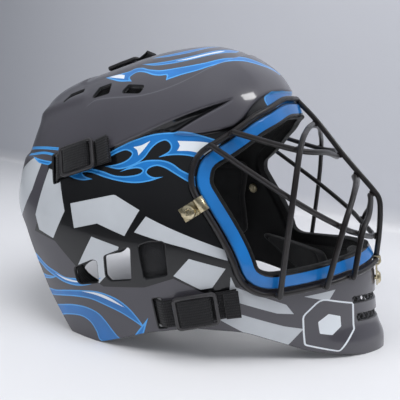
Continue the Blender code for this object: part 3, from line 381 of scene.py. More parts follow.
def depth_in(points, edge, rest=()):
    """Signed distance to an edge line, positive inside the area that the edge and rest enclose."""
    area = inside(points, np.array([*edge, *rest], float))
    return np.where(area, 1, -1) * line_distance(points, edge)


def relief(points):
    """How far the model's outer face stands off the base surface."""
    x, z = points[..., 0], points[..., 2]
    rim = RIM_HEIGHT * (1 - step_up(line_distance(points, OPENING_POINTS, True),
                                    RIM_WIDTH - RIM_SLOPE, RIM_WIDTH))
    chin_lip = CHIN_LIP * (1 - step_up(z, 8, 27)) * step_up(x, 95, 150)
    rear_flare = REAR_FLARE * (1 - step_up(z, 140, 147)) * step_up(-x, 105, 150)
    return rim + chin_lip + rear_flare


def smooth_path(points, steps):
    """Points along a smooth curve through the given ones."""
    points = [np.array(p, float) for p in points]
    ends = [2 * points[0] - points[1], *points, 2 * points[-1] - points[-2]]
    result = []
    for a, b, c, d in zip(ends, ends[1:], ends[2:], ends[3:]):
        for k in range(steps):
            t = k / steps
            result.append(0.5 * (2 * b + (c - a) * t + (2 * a - 5 * b + 4 * c - d) * t * t
                                 + (3 * b - a - 3 * c + d) * t ** 3))
    result.append(points[-1])
    return result


CREASE = np.array(smooth_path(CREASE_POINTS, 6))
BLADE_TOP = np.array(smooth_path(BLADE_TOP_POINTS, 4))
BLADE_LOW = np.array(smooth_path(BLADE_LOW_POINTS, 5))
DECK_LINE = np.array(smooth_path(DECK_POINTS, 5))
CAP_EDGE = np.concatenate([((-200, 139),), CREASE, BLADE_TOP[1:], BLADE_LOW[1:]])
CAP_TOP = ((95, 300), (-200, 300))
CHANNEL = np.concatenate([CREASE[24:], BLADE_TOP[1:], ((-12, 174),)])
DECK_TOP = ((38, 300), (-110, 300), (-110, 215), (-90, 206))


def sculpt(points):
    """The crown cap, the channel beside it, the deck round the crown vents and the rear scoops."""
    side = points[..., (0, 2)]
    x, z = side[..., 0], side[..., 1]
    off_rim = step_up(line_distance(points, OPENING_POINTS, True), RIM_WIDTH, RIM_WIDTH + 5)
    cap = step_up(depth_in(side, CAP_EDGE, CAP_TOP), -1.4, 1.4) * step_up(x, -100, -30)
    channel = step_up(depth_in(side, CHANNEL), -0.5, 3.0)
    deck = step_up(depth_in(side, DECK_LINE, DECK_TOP), -1.3, 1.3) * step_up(z, 185, 195)
    scoop = np.exp(-(line_distance(side, SCOOP) / SCOOP_WIDTH) ** 2)
    return off_rim * (CAP_HEIGHT * cap - CHANNEL_DEPTH * channel
                      - DECK_DEPTH * deck + SCOOP_HEIGHT * scoop)


def lifted(v, angle, lift):
    """Points off the base surface."""
    return base_point(v, angle) + base_normal(v, angle) * np.asarray(lift)[..., None]


def model_face(v, angle, lift=0.0):
    """Points off the model's outer face, which has the rim band but no sculpted detail."""
    return lifted(v, angle, lift + relief(base_point(v, angle)))


def outer_point(v, angle):
    """The finished outer face with all its sculpted detail."""
    base = base_point(v, angle)
    return lifted(v, angle, relief(base) + sculpt(base))


NUDGE = 1e-4            # step for slopes over the surface
VIEW_AXES = {"front": (1, 2), "side": (0, 2), "top": (0, 1)}
SEARCH_V, SEARCH_ANGLE = np.meshgrid(np.linspace(0.01, 1, 110), np.linspace(-np.pi, 0, 120),
                                     indexing="ij")
SEARCH_POINTS = base_point(SEARCH_V, SEARCH_ANGLE)


def locate(view, first, second):
    """(v, angle) of the base surface's points at pairs of coordinates, on the right half."""
    axes = list(VIEW_AXES[view])
    target = np.stack([np.atleast_1d(first), np.atleast_1d(second)], -1).astype(float)
    side = np.ones(len(target))
    if view != "side":
        across = axes.index(1)
        side[target[:, across] > 0] = -1.0
        target[:, across] = -np.abs(target[:, across])
    grid = SEARCH_POINTS[..., axes].reshape(-1, 2)
    behind = (SEARCH_ANGLE.ravel() < -math.pi / 2) if view == "front" else np.zeros(len(grid), bool)
    place = np.zeros((len(target), 2))
    for start in range(0, len(target), 100):
        part = target[start:start + 100]
        miss = ((grid[None] - part[:, None]) ** 2).sum(-1) + behind * 1e9
        k = np.argmin(miss, axis=1)
        place[start:start + 100] = np.stack([SEARCH_V.ravel()[k], SEARCH_ANGLE.ravel()[k]], -1)
    for _ in range(6):
        here = base_point(place[:, 0], place[:, 1])[:, axes]
        lower = base_point(place[:, 0] + NUDGE, place[:, 1])[:, axes]
        later = base_point(place[:, 0], place[:, 1] + NUDGE)[:, axes]
        jacobian = np.stack([(lower - here) / NUDGE, (later - here) / NUDGE], -1)
        move = np.einsum("nij,nj->ni", np.linalg.pinv(jacobian, rcond=1e-3), target - here)
        place = place + np.clip(move, -0.1, 0.1)
        place[:, 0] = np.clip(place[:, 0], 0.002, 0.9999)
    return place[:, 0], place[:, 1] * side


# ---- outlines -----------------------------------------------------------------------------------
def rounded(corners, spacing, closed=True):
    """Points along an outline whose corners (a, b, radius) are arcs."""
    points = []
    count = len(corners)
    for i, (a, b, radius) in enumerate(corners):
        here = np.array((a, b), float)
        if radius == 0 or (not closed and i in (0, count - 1)):
            points.append(here)
            continue
        before = np.array(corners[i - 1][:2], float) - here
        after = np.array(corners[(i + 1) % count][:2], float) - here
        len_before, len_after = np.linalg.norm(before), np.linalg.norm(after)
        before, after = before / len_before, after / len_after
        half = math.acos(max(-1, min(1, before @ after))) / 2
        reach = min(radius / math.tan(half), 0.49 * len_before, 0.49 * len_after)
        radius = reach * math.tan(half)
        middle = before + after
        centre = here + middle / np.linalg.norm(middle) * radius / math.sin(half)
        start, end = here + before * reach - centre, here + after * reach - centre
        sweep = math.pi - 2 * half
        steps = max(2, round(radius * sweep / min(spacing, max(radius / 3, 0.4))))
        for k in range(steps + 1):
            t = k / steps
            arc = (math.sin((1 - t) * sweep) * start + math.sin(t * sweep) * end) / math.sin(sweep)
            points.append(centre + arc)
    return subdivided(np.array(points), closed, spacing)


def subdivided(points, closed, spacing):
    """Splits an outline's long stretches and drops its very short ones."""
    ends = np.roll(points, -1, axis=0) if closed else points[1:]
    result = []
    for a, b in zip(points, ends):
        length = np.linalg.norm(b - a)
        if length < 0.15:
            continue
        pieces = max(1, math.ceil(length / spacing - 0.2))
        result.extend(a + (b - a) * k / pieces for k in range(pieces))
    if not closed:
        result.append(points[-1])
    return np.array(result)


FLOW_SPACING = 2.5


def flowing(points):
    """A closed outline that is smooth except at points with a third value of 0."""
    count = len(points)
    first = next((i for i, p in enumerate(points) if len(p) == 3), 0)
    ordered = [points[(first + i) % count] for i in range(count)]
    runs = [[ordered[0][:2]]]
    for p in [*ordered[1:], ordered[0]]:
        runs[-1].append(p[:2])
        if len(p) == 3:
            runs.append([p[:2]])
    result = []
    for run in runs[:-1]:
        path = [np.array(p, float) for p in run]
        longest = max(np.linalg.norm(b - a) for a, b in zip(path, path[1:]))
        result.extend(smooth_path(path, max(1, round(longest / FLOW_SPACING)))[:-1])
    return subdivided(np.array(result), True, FLOW_SPACING * 1.6)


def mirrored(corners):
    """Outline corners on the other side of the middle, in the order that closes the outline."""
    return [(-a, b, r) for a, b, r in reversed(corners)]


def opening_loop(spacing):
    corners = [(0, FACE_OPENING_TOP, 80), *FACE_OPENING, (0, FACE_OPENING_BOTTOM, 80),
               *mirrored(FACE_OPENING)]
    return rounded(corners, spacing=spacing)


def chin_vent_loop(vent, grow=0.0, spacing=4.0):
    (y1, z1, r), (y2, z2, _) = vent
    drop = CHIN_VENT_DROP
    return rounded([(y1 - grow, z1 + grow, r), (0, z1 + grow - drop, 90), (-y1 + grow, z1 + grow, r),
                    (-y2 + grow, z2 - grow, r), (0, z2 - grow - drop, 90), (y2 - grow, z2 - grow, r)],
                   spacing=spacing)


def strap_heading(strap):
    """The way a strap runs outside the shell, in its view."""
    run = np.array(strap["end"], float) - np.array(strap["slot"], float)
    return run / np.linalg.norm(run)


def slot_loop(strap):
    centre = np.array(strap["slot"], float)
    ahead = strap_heading(strap) * SLOT_WIDTH / 2
    across = np.array((-ahead[1], ahead[0])) / np.linalg.norm(ahead) * SLOT_LENGTH / 2
    corners = [centre + ahead + across, centre + ahead - across, centre - ahead - across,
               centre - ahead + across]
    return rounded([(*c, 2) for c in corners], spacing=3.0)


def both_sides(view, loop):
    """(v, angle) of an outline on the right half and of its mirror image."""
    v, angle = locate(view, loop[:, 0], loop[:, 1])
    return [(v, angle), (v[::-1], -angle[::-1])]


def outer_loop():
    """The shell's lower and rear edge, from under the chin round the right side to the back."""
    chin_y = np.linspace(0, -CHIN_REST, 8)
    chin_v, chin_angle = locate("front", chin_y, 0 * chin_y)
    side = rounded([(157, 0.2, 0), *BOTTOM_EDGE], closed=False, spacing=3.5)
    side_v, side_angle = locate("side", side[:, 0], side[:, 1])
    back_angle = np.linspace(side_angle[-1], -np.pi, 26)[1:]
    back_height = np.linspace(side[-1, 1], BACK_EDGE, 26)[1:]
    heights = along(HEIGHT, SEARCH_V[:, 0])
    back_v = np.interp(-back_height, -heights, SEARCH_V[:, 0])
    v = np.concatenate([chin_v, side_v, back_v])
    angle = np.concatenate([chin_angle, side_angle, back_angle])
    return np.concatenate([v, v[-2:0:-1]]), np.concatenate([angle, -angle[-2:0:-1]])


COARSE_2D = opening_loop(9.0)
OPENING_POINTS = base_point(*locate("front", COARSE_2D[:, 0], COARSE_2D[:, 1]))
OPENING_2D = opening_loop(3.0)
OPENING_LOOP = locate("front", OPENING_2D[:, 0], OPENING_2D[:, 1])
OPENING_FINE = base_point(*OPENING_LOOP)


def sideways(points, v, angle):
    """Unit vectors away from the face opening, along the surface, at its outline's points."""
    ahead = np.roll(points, -1, axis=0) - np.roll(points, 1, axis=0)
    ahead /= np.linalg.norm(ahead, axis=1, keepdims=True)
    outward = np.cross(base_normal(v, angle), ahead)
    outward *= np.sign(((points - points.mean(axis=0)) * outward).sum(1))[:, None]
    outward[np.abs(points[:, 1]) < 0.5, 1] = 0
    return outward


def offset_on_shell(distance):
    """The face opening's outline moved outwards over the base surface."""
    v, angle = (np.array(a) for a in OPENING_LOOP)
    target = OPENING_FINE + sideways(OPENING_FINE, v, angle) * distance
    for _ in range(12):
        here = base_point(v, angle)
        slopes = np.stack([(base_point(v + NUDGE, angle) - here) / NUDGE,
                           (base_point(v, angle + NUDGE) - here) / NUDGE], -1)
        for i in range(len(v)):
            move = np.linalg.lstsq(slopes[i], target[i] - here[i], rcond=None)[0]
            v[i] += np.clip(move[0], -0.05, 0.05)
            angle[i] += np.clip(move[1], -0.1, 0.1)
    return v, angle


# ---- materials ----------------------------------------------------------------------------------
def nodes_of(name, roughness, metallic=0.0, coat=0.0, coat_roughness=0.05, sheen=0.0):
    """A new material with a Principled shader; returns it, its node tree and the shader."""
    made = bpy.data.materials.new(name)
    made.use_nodes = True
    tree = made.node_tree
    shader = tree.nodes["Principled BSDF"]
    for label, value in (("Roughness", roughness), ("Metallic", metallic), ("Coat Weight", coat),
                         ("Coat Roughness", coat_roughness), ("Sheen Weight", sheen)):
        shader.inputs[label].default_value = value
    return made, tree, shader


def added(tree, kind, links=None, **values):
    """A new shader node with its inputs linked or set; input names have _ for a space."""
    node = tree.nodes.new("ShaderNode" + kind)
    for label, value in values.items():
        node.inputs[label.replace("_", " ")].default_value = value
    for label, socket in (links or {}).items():
        tree.links.new(socket, node.inputs[label])
    return node


def noise(tree, scale, detail):
    """A noise value over the object's own coordinates, in units per metre."""
    coordinates = added(tree, "TexCoord").outputs["Object"]
    return added(tree, "TexNoise", {"Vector": coordinates}, Scale=scale, Detail=detail).outputs["Fac"]


def ranged(tree, value, low, high):
    """Spreads the middle of a noise value from low to high."""
    return added(tree, "MapRange", {"Value": value}, From_Min=0.3, From_Max=0.7, To_Min=low,
                 To_Max=high).outputs["Result"]


def mixed(tree, factor, dark, light):
    node = tree.nodes.new("ShaderNodeMix")
    node.data_type = "RGBA"
    node.inputs["A"].default_value = (*dark, 1)
    node.inputs["B"].default_value = (*light, 1)
    tree.links.new(factor, node.inputs["Factor"])
    return node.outputs["Result"]


def bumped(tree, shader, value, strength, distance):
    node = added(tree, "Bump", {"Height": value}, Strength=strength, Distance=distance)
    tree.links.new(node.outputs["Normal"], shader.inputs["Normal"])


def mottled(tree, shader, cloud, dark, light):
    """A base colour that wanders from dark to light; cloud is the noise's (scale, detail)."""
    shade = mixed(tree, ranged(tree, noise(tree, *cloud), 0, 1), dark, light)
    tree.links.new(shade, shader.inputs["Base Color"])


def hazed(tree, shader, cloud, low, high):
    """Roughness that wanders from low to high."""
    tree.links.new(ranged(tree, noise(tree, *cloud), low, high), shader.inputs["Roughness"])


def paint(name, colour, lighter=1.05, darker=0.96):
    """Clear-coated paint: a soft mottle in the colour, faint haze in the gloss, orange peel."""
    made, tree, shader = nodes_of(name, 0.32, coat=0.75, coat_roughness=0.07)
    shader.inputs["Specular IOR Level"].default_value = 0.3
    mottled(tree, shader, (28, 4), [c * darker for c in colour], [c * lighter for c in colour])
    hazed(tree, shader, (90, 3), 0.28, 0.36)
    bumped(tree, shader, noise(tree, 150, 0), 0.02, 0.0002)
    return made


def coated_wire():
    made, tree, shader = nodes_of("powder_coat", 0.36, coat=0.2, coat_roughness=0.2)
    mottled(tree, shader, (160, 4), (0.006, 0.005, 0.005), (0.014, 0.011, 0.011))
    hazed(tree, shader, (300, 3), 0.28, 0.44)
    bumped(tree, shader, noise(tree, 1500, 3), 0.12, 0.0004)
    return made


def moulded(name, dark, light, roughness, grain=900, strength=0.18, coat=0.0):
    made, tree, shader = nodes_of(name, roughness, coat=coat, coat_roughness=0.2)
    mottled(tree, shader, (120, 4), dark, light)
    hazed(tree, shader, (260, 3), roughness - 0.07, roughness + 0.08)
    bumped(tree, shader, noise(tree, grain, 2), strength, 0.0005)
    return made


def wave(tree, scale, direction):
    """Bands over the strap's own coordinates, in bands per centimetre."""
    coordinates = tree.nodes.new("ShaderNodeUVMap")
    coordinates.uv_map = "strap"
    texture = added(tree, "TexWave", {"Vector": coordinates.outputs["UV"]}, Scale=scale, Distortion=0.4,
                    Detail=1)
    texture.bands_direction = direction
    return texture.outputs["Fac"]


def woven(name, dark, light):
    """Webbing: ribs along the strap and fine weft across it."""
    made, tree, shader = nodes_of(name, 0.8, sheen=0.1)
    weave = tree.nodes.new("ShaderNodeMath")
    weave.operation = "MULTIPLY"
    tree.links.new(wave(tree, 1.5, "X"), weave.inputs[0])
    tree.links.new(wave(tree, 2.4, "Y"), weave.inputs[1])
    tree.links.new(mixed(tree, weave.outputs[0], dark, light), shader.inputs["Base Color"])
    bumped(tree, shader, weave.outputs[0], 0.6, 0.0006)
    return made


def foam_cloth(name, dark, light, cell=1400):
    made, tree, shader = nodes_of(name, 0.9, sheen=0.35)
    mottled(tree, shader, (90, 5), dark, light)
    bumped(tree, shader, noise(tree, cell, 3), 0.5, 0.0008)
    return made


def plated_steel():
    made, tree, shader = nodes_of("plated_steel", 0.28, metallic=1.0)
    mottled(tree, shader, (160, 2), (0.50, 0.43, 0.27), (0.66, 0.58, 0.40))
    hazed(tree, shader, (240, 2), 0.24, 0.36)
    bumped(tree, shader, noise(tree, 900, 2), 0.03, 0.0001)
    return made


PAINTS = {
    "grey": paint("paint_grey", GREY),
    "black": paint("paint_black", BLACK),
    "blue": paint("paint_blue", BLUE, 1.25, 0.85),
    "sky": paint("paint_sky", SKY, 1.1, 0.92),
    # white for the emblem's print, also used for the painted highlights
    "white": paint("paint_white_and_highlight", WHITE, 1.04, 0.96),
    "silver": paint("paint_silver", SILVER, 1.07, 0.93),
    "lining": foam_cloth("lining", (0.0035, 0.0035, 0.004), (0.008, 0.008, 0.009)),
}
PAINT_ORDER = list(PAINTS)
POWDER = coated_wire()
TRIM = moulded("edge_rubber", (0.0025, 0.0025, 0.0025), (0.006, 0.006, 0.006), 0.62)
FOAM_CLOTH = foam_cloth("pad_cloth", (0.006, 0.006, 0.007), (0.014, 0.014, 0.016))
YELLOW_FOAM = foam_cloth("yellow_foam", (0.33, 0.24, 0.05), (0.62, 0.48, 0.13), 900)
WEBBING = woven("webbing", (0.003, 0.003, 0.0035), (0.017, 0.016, 0.018))
BUCKLE = moulded("buckle_plastic", (0.020, 0.019, 0.020), (0.034, 0.032, 0.034), 0.34, coat=0.2)
STEEL = plated_steel()
GRILLE = moulded("grille_plastic", (0.045, 0.045, 0.050), (0.070, 0.070, 0.076), 0.38)
PLATE = moulded("plate_plastic", (0.010, 0.010, 0.011), (0.018, 0.018, 0.020), 0.40, 600, 0.3)


# ---- mesh helpers -------------------------------------------------------------------------------
def publish(name, points, faces, finish, nodes, body="mask", *, surface, normals=None, slots=None,
            uv=None, sharp=None):
    """Makes a mesh piece from points in millimetres; it rides on a body and replaces CAD nodes.

    A piece that bends between bodies has no body of its own.
    """
    mesh = bpy.data.meshes.new(name)
    mesh.from_pydata((np.array(points, float) * MM).tolist(), [],
                     [tuple(int(i) for i in f) for f in faces])
    for made in finish if isinstance(finish, (list, tuple)) else [finish]:
        mesh.materials.append(made)
    if slots is not None:
        mesh.polygons.foreach_set("material_index", np.array(slots, np.int32))
    if uv is not None:
        layer = mesh.uv_layers.new(name="strap")
        corners = np.zeros(len(mesh.loops), np.int32)
        mesh.loops.foreach_get("vertex_index", corners)
        layer.data.foreach_set("uv", np.array(uv, np.float32)[corners].ravel())
    if normals is None:
        work = bmesh.new()
        work.from_mesh(mesh)
        bmesh.ops.recalc_face_normals(work, faces=work.faces)
        work.to_mesh(mesh)
        work.free()
    mesh.shade_smooth()
    if sharp is not None:
        mesh.set_sharp_from_angle(angle=math.radians(sharp))
    if normals is not None:
        mesh.normals_split_custom_set_from_vertices(np.array(normals, float).tolist())
    made = bpy.data.objects.new(name, mesh)
    bpy.context.collection.objects.link(made)
    if body:
        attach(made, body)
    if nodes:
        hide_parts(*nodes)
    return made


def modified(made, kind, **settings):
    """Adds a modifier and applies it to the piece's mesh."""
    modifier = made.modifiers.new(kind.lower(), kind)
    for key, value in settings.items():
        setattr(modifier, key, value)
    graph = bpy.context.evaluated_depsgraph_get()
    new_mesh = bpy.data.meshes.new_from_object(made.evaluated_get(graph))
    made.modifiers.clear()
    made.data = new_mesh
    return made


def joined(parts):
    """Points and faces of several (points, faces) solids as one."""
    points, faces = [], []
    for part_points, part_faces in parts:
        start = len(points)
        points.extend(part_points)
        faces.extend(tuple(i + start for i in f) for f in part_faces)
    return points, faces


def ring_at(count):
    """Cosine and sine of evenly spaced turns."""
    turns = [2 * math.pi * k / count for k in range(count)]
    return [(math.cos(t), math.sin(t)) for t in turns]


def flattened(v, angle):
    return np.stack([v * np.cos(angle), v * np.sin(angle)], -1)


RING_SAMPLES = 361
CROWDED = 0.55          # grid vertices nearer than this share of the spacing to an edge are left out


def grid_places(spacing):
    """(v, angle) of vertices spread evenly over the base surface."""
    places = [(0.002, 0.0)]
    rows = round(CROWN_TO_RIM / spacing)
    for i in range(1, rows):
        turns = np.linspace(-np.pi, np.pi, RING_SAMPLES)
        ring = base_point(np.full(RING_SAMPLES, i / rows), turns)
        run = np.concatenate([[0], np.cumsum(np.linalg.norm(np.diff(ring, axis=0), axis=1))])
        count = 2 * max(3, round(run[-1] / spacing / 2))
        marks = (np.arange(count) + 0.5 * (i % 2)) / count * run[-1]
        places.extend((i / rows, t) for t in np.interp(marks, run, turns))
    return np.array(places)


def crowded(points, others, reach):
    """Which points lie within reach of any of the others."""
    bins = {}
    for p in others:
        bins.setdefault(tuple((p // reach).astype(int)), []).append(p)
    bins = {key: np.array(found) for key, found in bins.items()}
    result = np.zeros(len(points), bool)
    steps = [(i, j, k) for i in (-1, 0, 1) for j in (-1, 0, 1) for k in (-1, 0, 1)]
    for n, p in enumerate(points):
        a, b, c = (p // reach).astype(int)
        for i, j, k in steps:
            near = bins.get((a + i, b + j, c + k))
            if near is not None and (((near - p) ** 2).sum(1) < reach * reach).any():
                result[n] = True
                break
    return result


def shell_sheet(outer, holes, lines, spacing):
    """Vertices (v, angle) and triangles of the shell's face; lines are open runs of (v, angle)."""
    loops = [outer, *holes]
    places = np.concatenate([np.stack(run, -1) for run in [*loops, *lines]])
    edges = []
    start = 0
    for k, (v, _) in enumerate([*loops, *lines]):
        count = len(v)
        last = count if k < len(loops) else count - 1
        edges.extend((start + i, start + (i + 1) % count) for i in range(last))
        start += count

    def on_shell(flat):
        found = inside(flat, flattened(*outer))
        for hole in holes:
            found &= ~inside(flat, flattened(*hole))
        return found

    grid = grid_places(spacing)
    grid = grid[on_shell(flattened(grid[:, 0], grid[:, 1]))]
    edge_points = base_point(places[:, 0], places[:, 1])
    grid = grid[~crowded(base_point(grid[:, 0], grid[:, 1]), edge_points, CROWDED * spacing)]
    places = np.concatenate([places, grid])
    flat = flattened(places[:, 0], places[:, 1])
    result = geometry.delaunay_2d_cdt([Vector(p) for p in flat], edges, [], 0, 1e-7)
    flat = np.array([tuple(p) for p in result[0]])
    triangles = np.array(result[2])
    triangles = triangles[on_shell(flat[triangles].mean(axis=1))]
    return np.hypot(flat[:, 0], flat[:, 1]), np.arctan2(flat[:, 1], flat[:, 0]), triangles


def open_edges(triangles):
    """Boundary edges (a, b), each in the direction of its triangle."""
    found = set()
    for a, b, c in triangles:
        for edge in ((a, b), (b, c), (c, a)):
            if (edge[1], edge[0]) in found:
                found.discard((edge[1], edge[0]))
            else:
                found.add(edge)
    return sorted(found)


EDGE_STEPS = 5
EDGE_BULGE = 1.0


def rounded_sheet(outside, lining, normals, triangles):
    """A closed sheet with half-round edges: points, faces and normals, with the edge faces last."""
    count = len(outside)
    points = [*outside, *lining]
    all_normals = [*normals, *(-normals)]
    faces = [tuple(t) for t in triangles]
    faces += [(c + count, b + count, a + count) for a, b, c in triangles]
    borders = open_edges(triangles)
    away = {}
    for a, b in borders:
        ahead = outside[b] - outside[a]
        side = np.cross(ahead, normals[a])
        side = side / (np.linalg.norm(side) + 1e-9)
        away[a] = away.get(a, 0) + side
        away[b] = away.get(b, 0) + side
    rings = {}
    for i, side in away.items():
        side = side / (np.linalg.norm(side) + 1e-9)
        ring = [i]
        middle, half = (outside[i] + lining[i]) / 2, (outside[i] - lining[i]) / 2
        for k in range(1, EDGE_STEPS):
            turn = math.pi * k / EDGE_STEPS
            ring.append(len(points))
            points.append(middle + half * math.cos(turn) + side * EDGE_BULGE * math.sin(turn))
            all_normals.append(normals[i] * math.cos(turn) + side * math.sin(turn))
        ring.append(i + count)
        rings[i] = ring
    for a, b in borders:
        for k in range(EDGE_STEPS):
            faces.append((rings[b][k], rings[a][k], rings[a][k + 1], rings[b][k + 1]))
    return np.array(points), faces, np.array(all_normals)


def disc_faces(count, rings):
    """Triangles of concentric rings of vertices round a middle vertex, which comes last."""
    faces = []
    for r in range(rings - 1):
        for i in range(count):
            j = (i + 1) % count
            a, b = r * count + i, r * count + j
            faces.append((a, b, b + count, a + count))
    last = (rings - 1) * count
    faces += [(last + i, last + (i + 1) % count, rings * count) for i in range(count)]
    return faces


LATHE_SIDES = 48


def lathe(profile, frame, lobes):
    """A turned solid about the frame's Z; lobes(radius, height, turn) gives the radius at a turn."""
    points = []
    faces = []
    rows = len(profile)
    ring = all(r > 0 for r, _ in profile)
    for k, (c, s) in enumerate(ring_at(LATHE_SIDES)):
        for r, h in profile:
            r = lobes(r, h, 2 * math.pi * k / LATHE_SIDES)
            points.append(np.array(frame @ Vector((r * c, r * s, h))))
    for k in range(LATHE_SIDES):
        a, b = k * rows, ((k + 1) % LATHE_SIDES) * rows
        for i in range(rows if ring else rows - 1):
            j = (i + 1) % rows
            corners = [a + i, b + i, b + j, a + j]
            if profile[i][0] == 0:
                corners = [a + i, b + j, a + j]
            if profile[j][0] == 0:
                corners = [a + i, b + i, a + j]
            faces.append(tuple(corners))
    return points, faces


def axes_frame(origin, x_axis, z_axis):
    """A frame at origin with Z along z_axis and X as near x_axis as it can be."""
    z = Vector(z_axis).normalized()
    x = Vector(x_axis)
    x = (x - x.dot(z) * z).normalized()
    frame = Matrix((x, z.cross(x), z)).transposed().to_4x4()
    frame.translation = Vector(origin)
    return frame


def for_hand(hand, points):
    """Points of the right half, mirrored for a left-hand piece."""
    return [np.array(p) * (1, -1, 1) for p in points] if hand == "_left" else list(points)


def tube(path, radius, sides=18, closed=False):
    """A round bar along a path, with domed ends."""
    path = np.array(path, float)
    count = len(path)
    ahead = np.roll(path, -1, axis=0) - np.roll(path, 1, axis=0)
    if not closed:
        ahead[0], ahead[-1] = path[1] - path[0], path[-1] - path[-2]
    ahead /= np.linalg.norm(ahead, axis=1, keepdims=True)
    sections = [(path[i], ahead[i], radius) for i in range(count)]
    if not closed:
        turns = [math.radians(a) for a in (75, 50, 25)]
        start = [(path[0] - ahead[0] * radius * math.sin(t), ahead[0], radius * math.cos(t))
                 for t in turns]
        end = [(path[-1] + ahead[-1] * radius * math.sin(t), ahead[-1], radius * math.cos(t))
               for t in reversed(turns)]
        sections = [*start, *sections, *end]
    points, faces = [], []
    side = np.cross(sections[0][1], (0.31, 0.17, 0.93))
    for place, along_, r in sections:
        side = side - along_ * (side @ along_)
        side /= np.linalg.norm(side)
        up = np.cross(along_, side)
        points += [place + (side * c + up * s) * r for c, s in ring_at(sides)]
    rows = len(sections)
    twist = 0
    if closed:
        gaps = [np.linalg.norm(points[(rows - 1) * sides] - points[k]) for k in range(sides)]
        twist = int(np.argmin(gaps))
    for i in range(rows if closed else rows - 1):
        j = (i + 1) % rows
        shift = twist if j == 0 else 0
        for k in range(sides):
            a, b = k, (k + 1) % sides
            faces.append((i * sides + a, i * sides + b, j * sides + (b + shift) % sides,
                          j * sides + (a + shift) % sides))
    if not closed:
        faces.append(tuple(range(sides))[::-1])
        faces.append(tuple((rows - 1) * sides + k for k in range(sides)))
    return points, faces


def bead(place, ahead, across, size):
    """A weld bead: a squashed ball between two crossing bars."""
    rings, sides = 7, 14
    ahead = ahead / np.linalg.norm(ahead)
    across = across - ahead * (across @ ahead)
    across /= np.linalg.norm(across)
    up = np.cross(ahead, across)
    points = [place + up * size[2]]
    for i in range(1, rings):
        lean = math.pi * i / rings
        points += [place + (ahead * size[0] * c + across * size[1] * s) * math.sin(lean)
                   + up * size[2] * math.cos(lean) for c, s in ring_at(sides)]
    points.append(place - up * size[2])
    faces = []
    last = len(points) - 1
    for k in range(sides):
        j = (k + 1) % sides
        faces.append((0, 1 + k, 1 + j))
        faces.append((last, last - sides + j, last - sides + k))
        for i in range(rings - 2):
            a = 1 + i * sides
            faces.append((a + k, a + sides + k, a + sides + j, a + j))
    return points, faces


# ---- the shell ----------------------------------------------------------------------------------
SHEET_SPACING = 3.2
REST_BELOW = 0.6        # edge points lower than this rest on the ground
ON_SURFACE = 0.3        # how near a located point has to be to the one asked for
SIDE_FROM = 12          # the paint seen from the side starts this far from the middle
CROWN_ABOVE = 150       # the paint seen from the top or the front lies above this
CROWN_AHEAD_OF = -95    # and ahead of this
PAINTED = {
    "side": {
        "emblem": [rounded(EMBLEM, spacing=3.0)],
        "core": [rounded(EMBLEM_CORE, spacing=2.0)],
        "flame": [flowing(f) for f in (FLAME_UPPER, FLAME_LOWER, *REAR_FLAMES, *REAR_STRIPES)],
        # glint: painted highlights on the flames, filled in white
        "glint": [flowing(f) for f in (FLAME_UPPER_HIGHLIGHT, FLAME_UPPER_GLINT, *REAR_GLINTS)],
        "shard": [rounded(s, spacing=5.0) for s in SHARDS],
        "panel": [rounded(PANEL, spacing=5.0)],
    },
    "top": {
        "flame": [flowing(f) for f in CROWN_FLAMES],
        # glint: painted highlights on the crown flames, filled in white
        "glint": [flowing(f) for f in CROWN_GLINTS],
    },
    "front": {
        "patch": [rounded(FOREHEAD_PATCH, spacing=4.0)],
    },
}


def true_runs(flags):
    """Lists of the places of consecutive true flags, two or more in each."""
    runs = [[]]
    for i, fine in enumerate(flags):
        if fine:
            runs[-1].append(i)
        elif runs[-1]:
            runs.append([])
    return [run for run in runs if len(run) > 1]


def inset(loop, distance):
    """Open runs of points a distance inside a closed outline, left out where it is too narrow."""
    before, after = loop - np.roll(loop, 1, axis=0), np.roll(loop, -1, axis=0) - loop
    before /= np.linalg.norm(before, axis=1, keepdims=True) + 1e-9
    after /= np.linalg.norm(after, axis=1, keepdims=True) + 1e-9
    turn = np.stack([-(before + after)[:, 1], (before + after)[:, 0]], -1)
    size = np.linalg.norm(turn, axis=1, keepdims=True) + 1e-9
    turn = turn / size
    cosine = np.clip((turn * np.stack([-after[:, 1], after[:, 0]], -1)).sum(1), 0.35, 1)
    best = None
    for sign in (1, -1):
        moved = loop + sign * turn * (distance / cosine)[:, None]
        good = inside(moved, loop) & (line_distance(moved, loop, True) > 0.92 * distance)
        if best is None or good.sum() > best[1].sum():
            best = (moved, good)
    moved, good = (np.concatenate([a, a[:1]]) for a in best)
    return [moved[run] for run in true_runs(good)]


def placed_runs(view, line, closed):
    """Runs of (v, angle) on the right half where the surface really has the line's points."""
    if closed:
        line = np.concatenate([line, line[:1]])
    v, angle = locate(view, line[:, 0], line[:, 1])
    good = np.linalg.norm(base_point(v, angle)[:, list(VIEW_AXES[view])] - line, axis=1) < ON_SURFACE
    if view != "front":
        good &= angle <= 1e-6
    return [(v[run], angle[run]) for run in true_runs(good)]


def paint_lines():
    """All paint outlines, insets and creases, as open runs of (v, angle) on both halves."""
    found = []
    for view, kinds in PAINTED.items():
        for kind, loops in kinds.items():
            for loop in loops:
                runs = placed_runs(view, loop, True)
                if kind in ("flame", "patch", "emblem"):
                    for part in inset(loop, EMBLEM_LINE if kind == "emblem" else FLAME_LINE):
                        runs += placed_runs(view, part, False)
                found += runs
                if view != "front":
                    found += [(v, -angle) for v, angle in runs]
    return found


def beside(line, distance):
    """A line moved sideways in its plane."""
    ahead = np.gradient(line, axis=0)
    ahead /= np.linalg.norm(ahead, axis=1, keepdims=True)
    return line + np.stack([-ahead[:, 1], ahead[:, 0]], -1) * distance


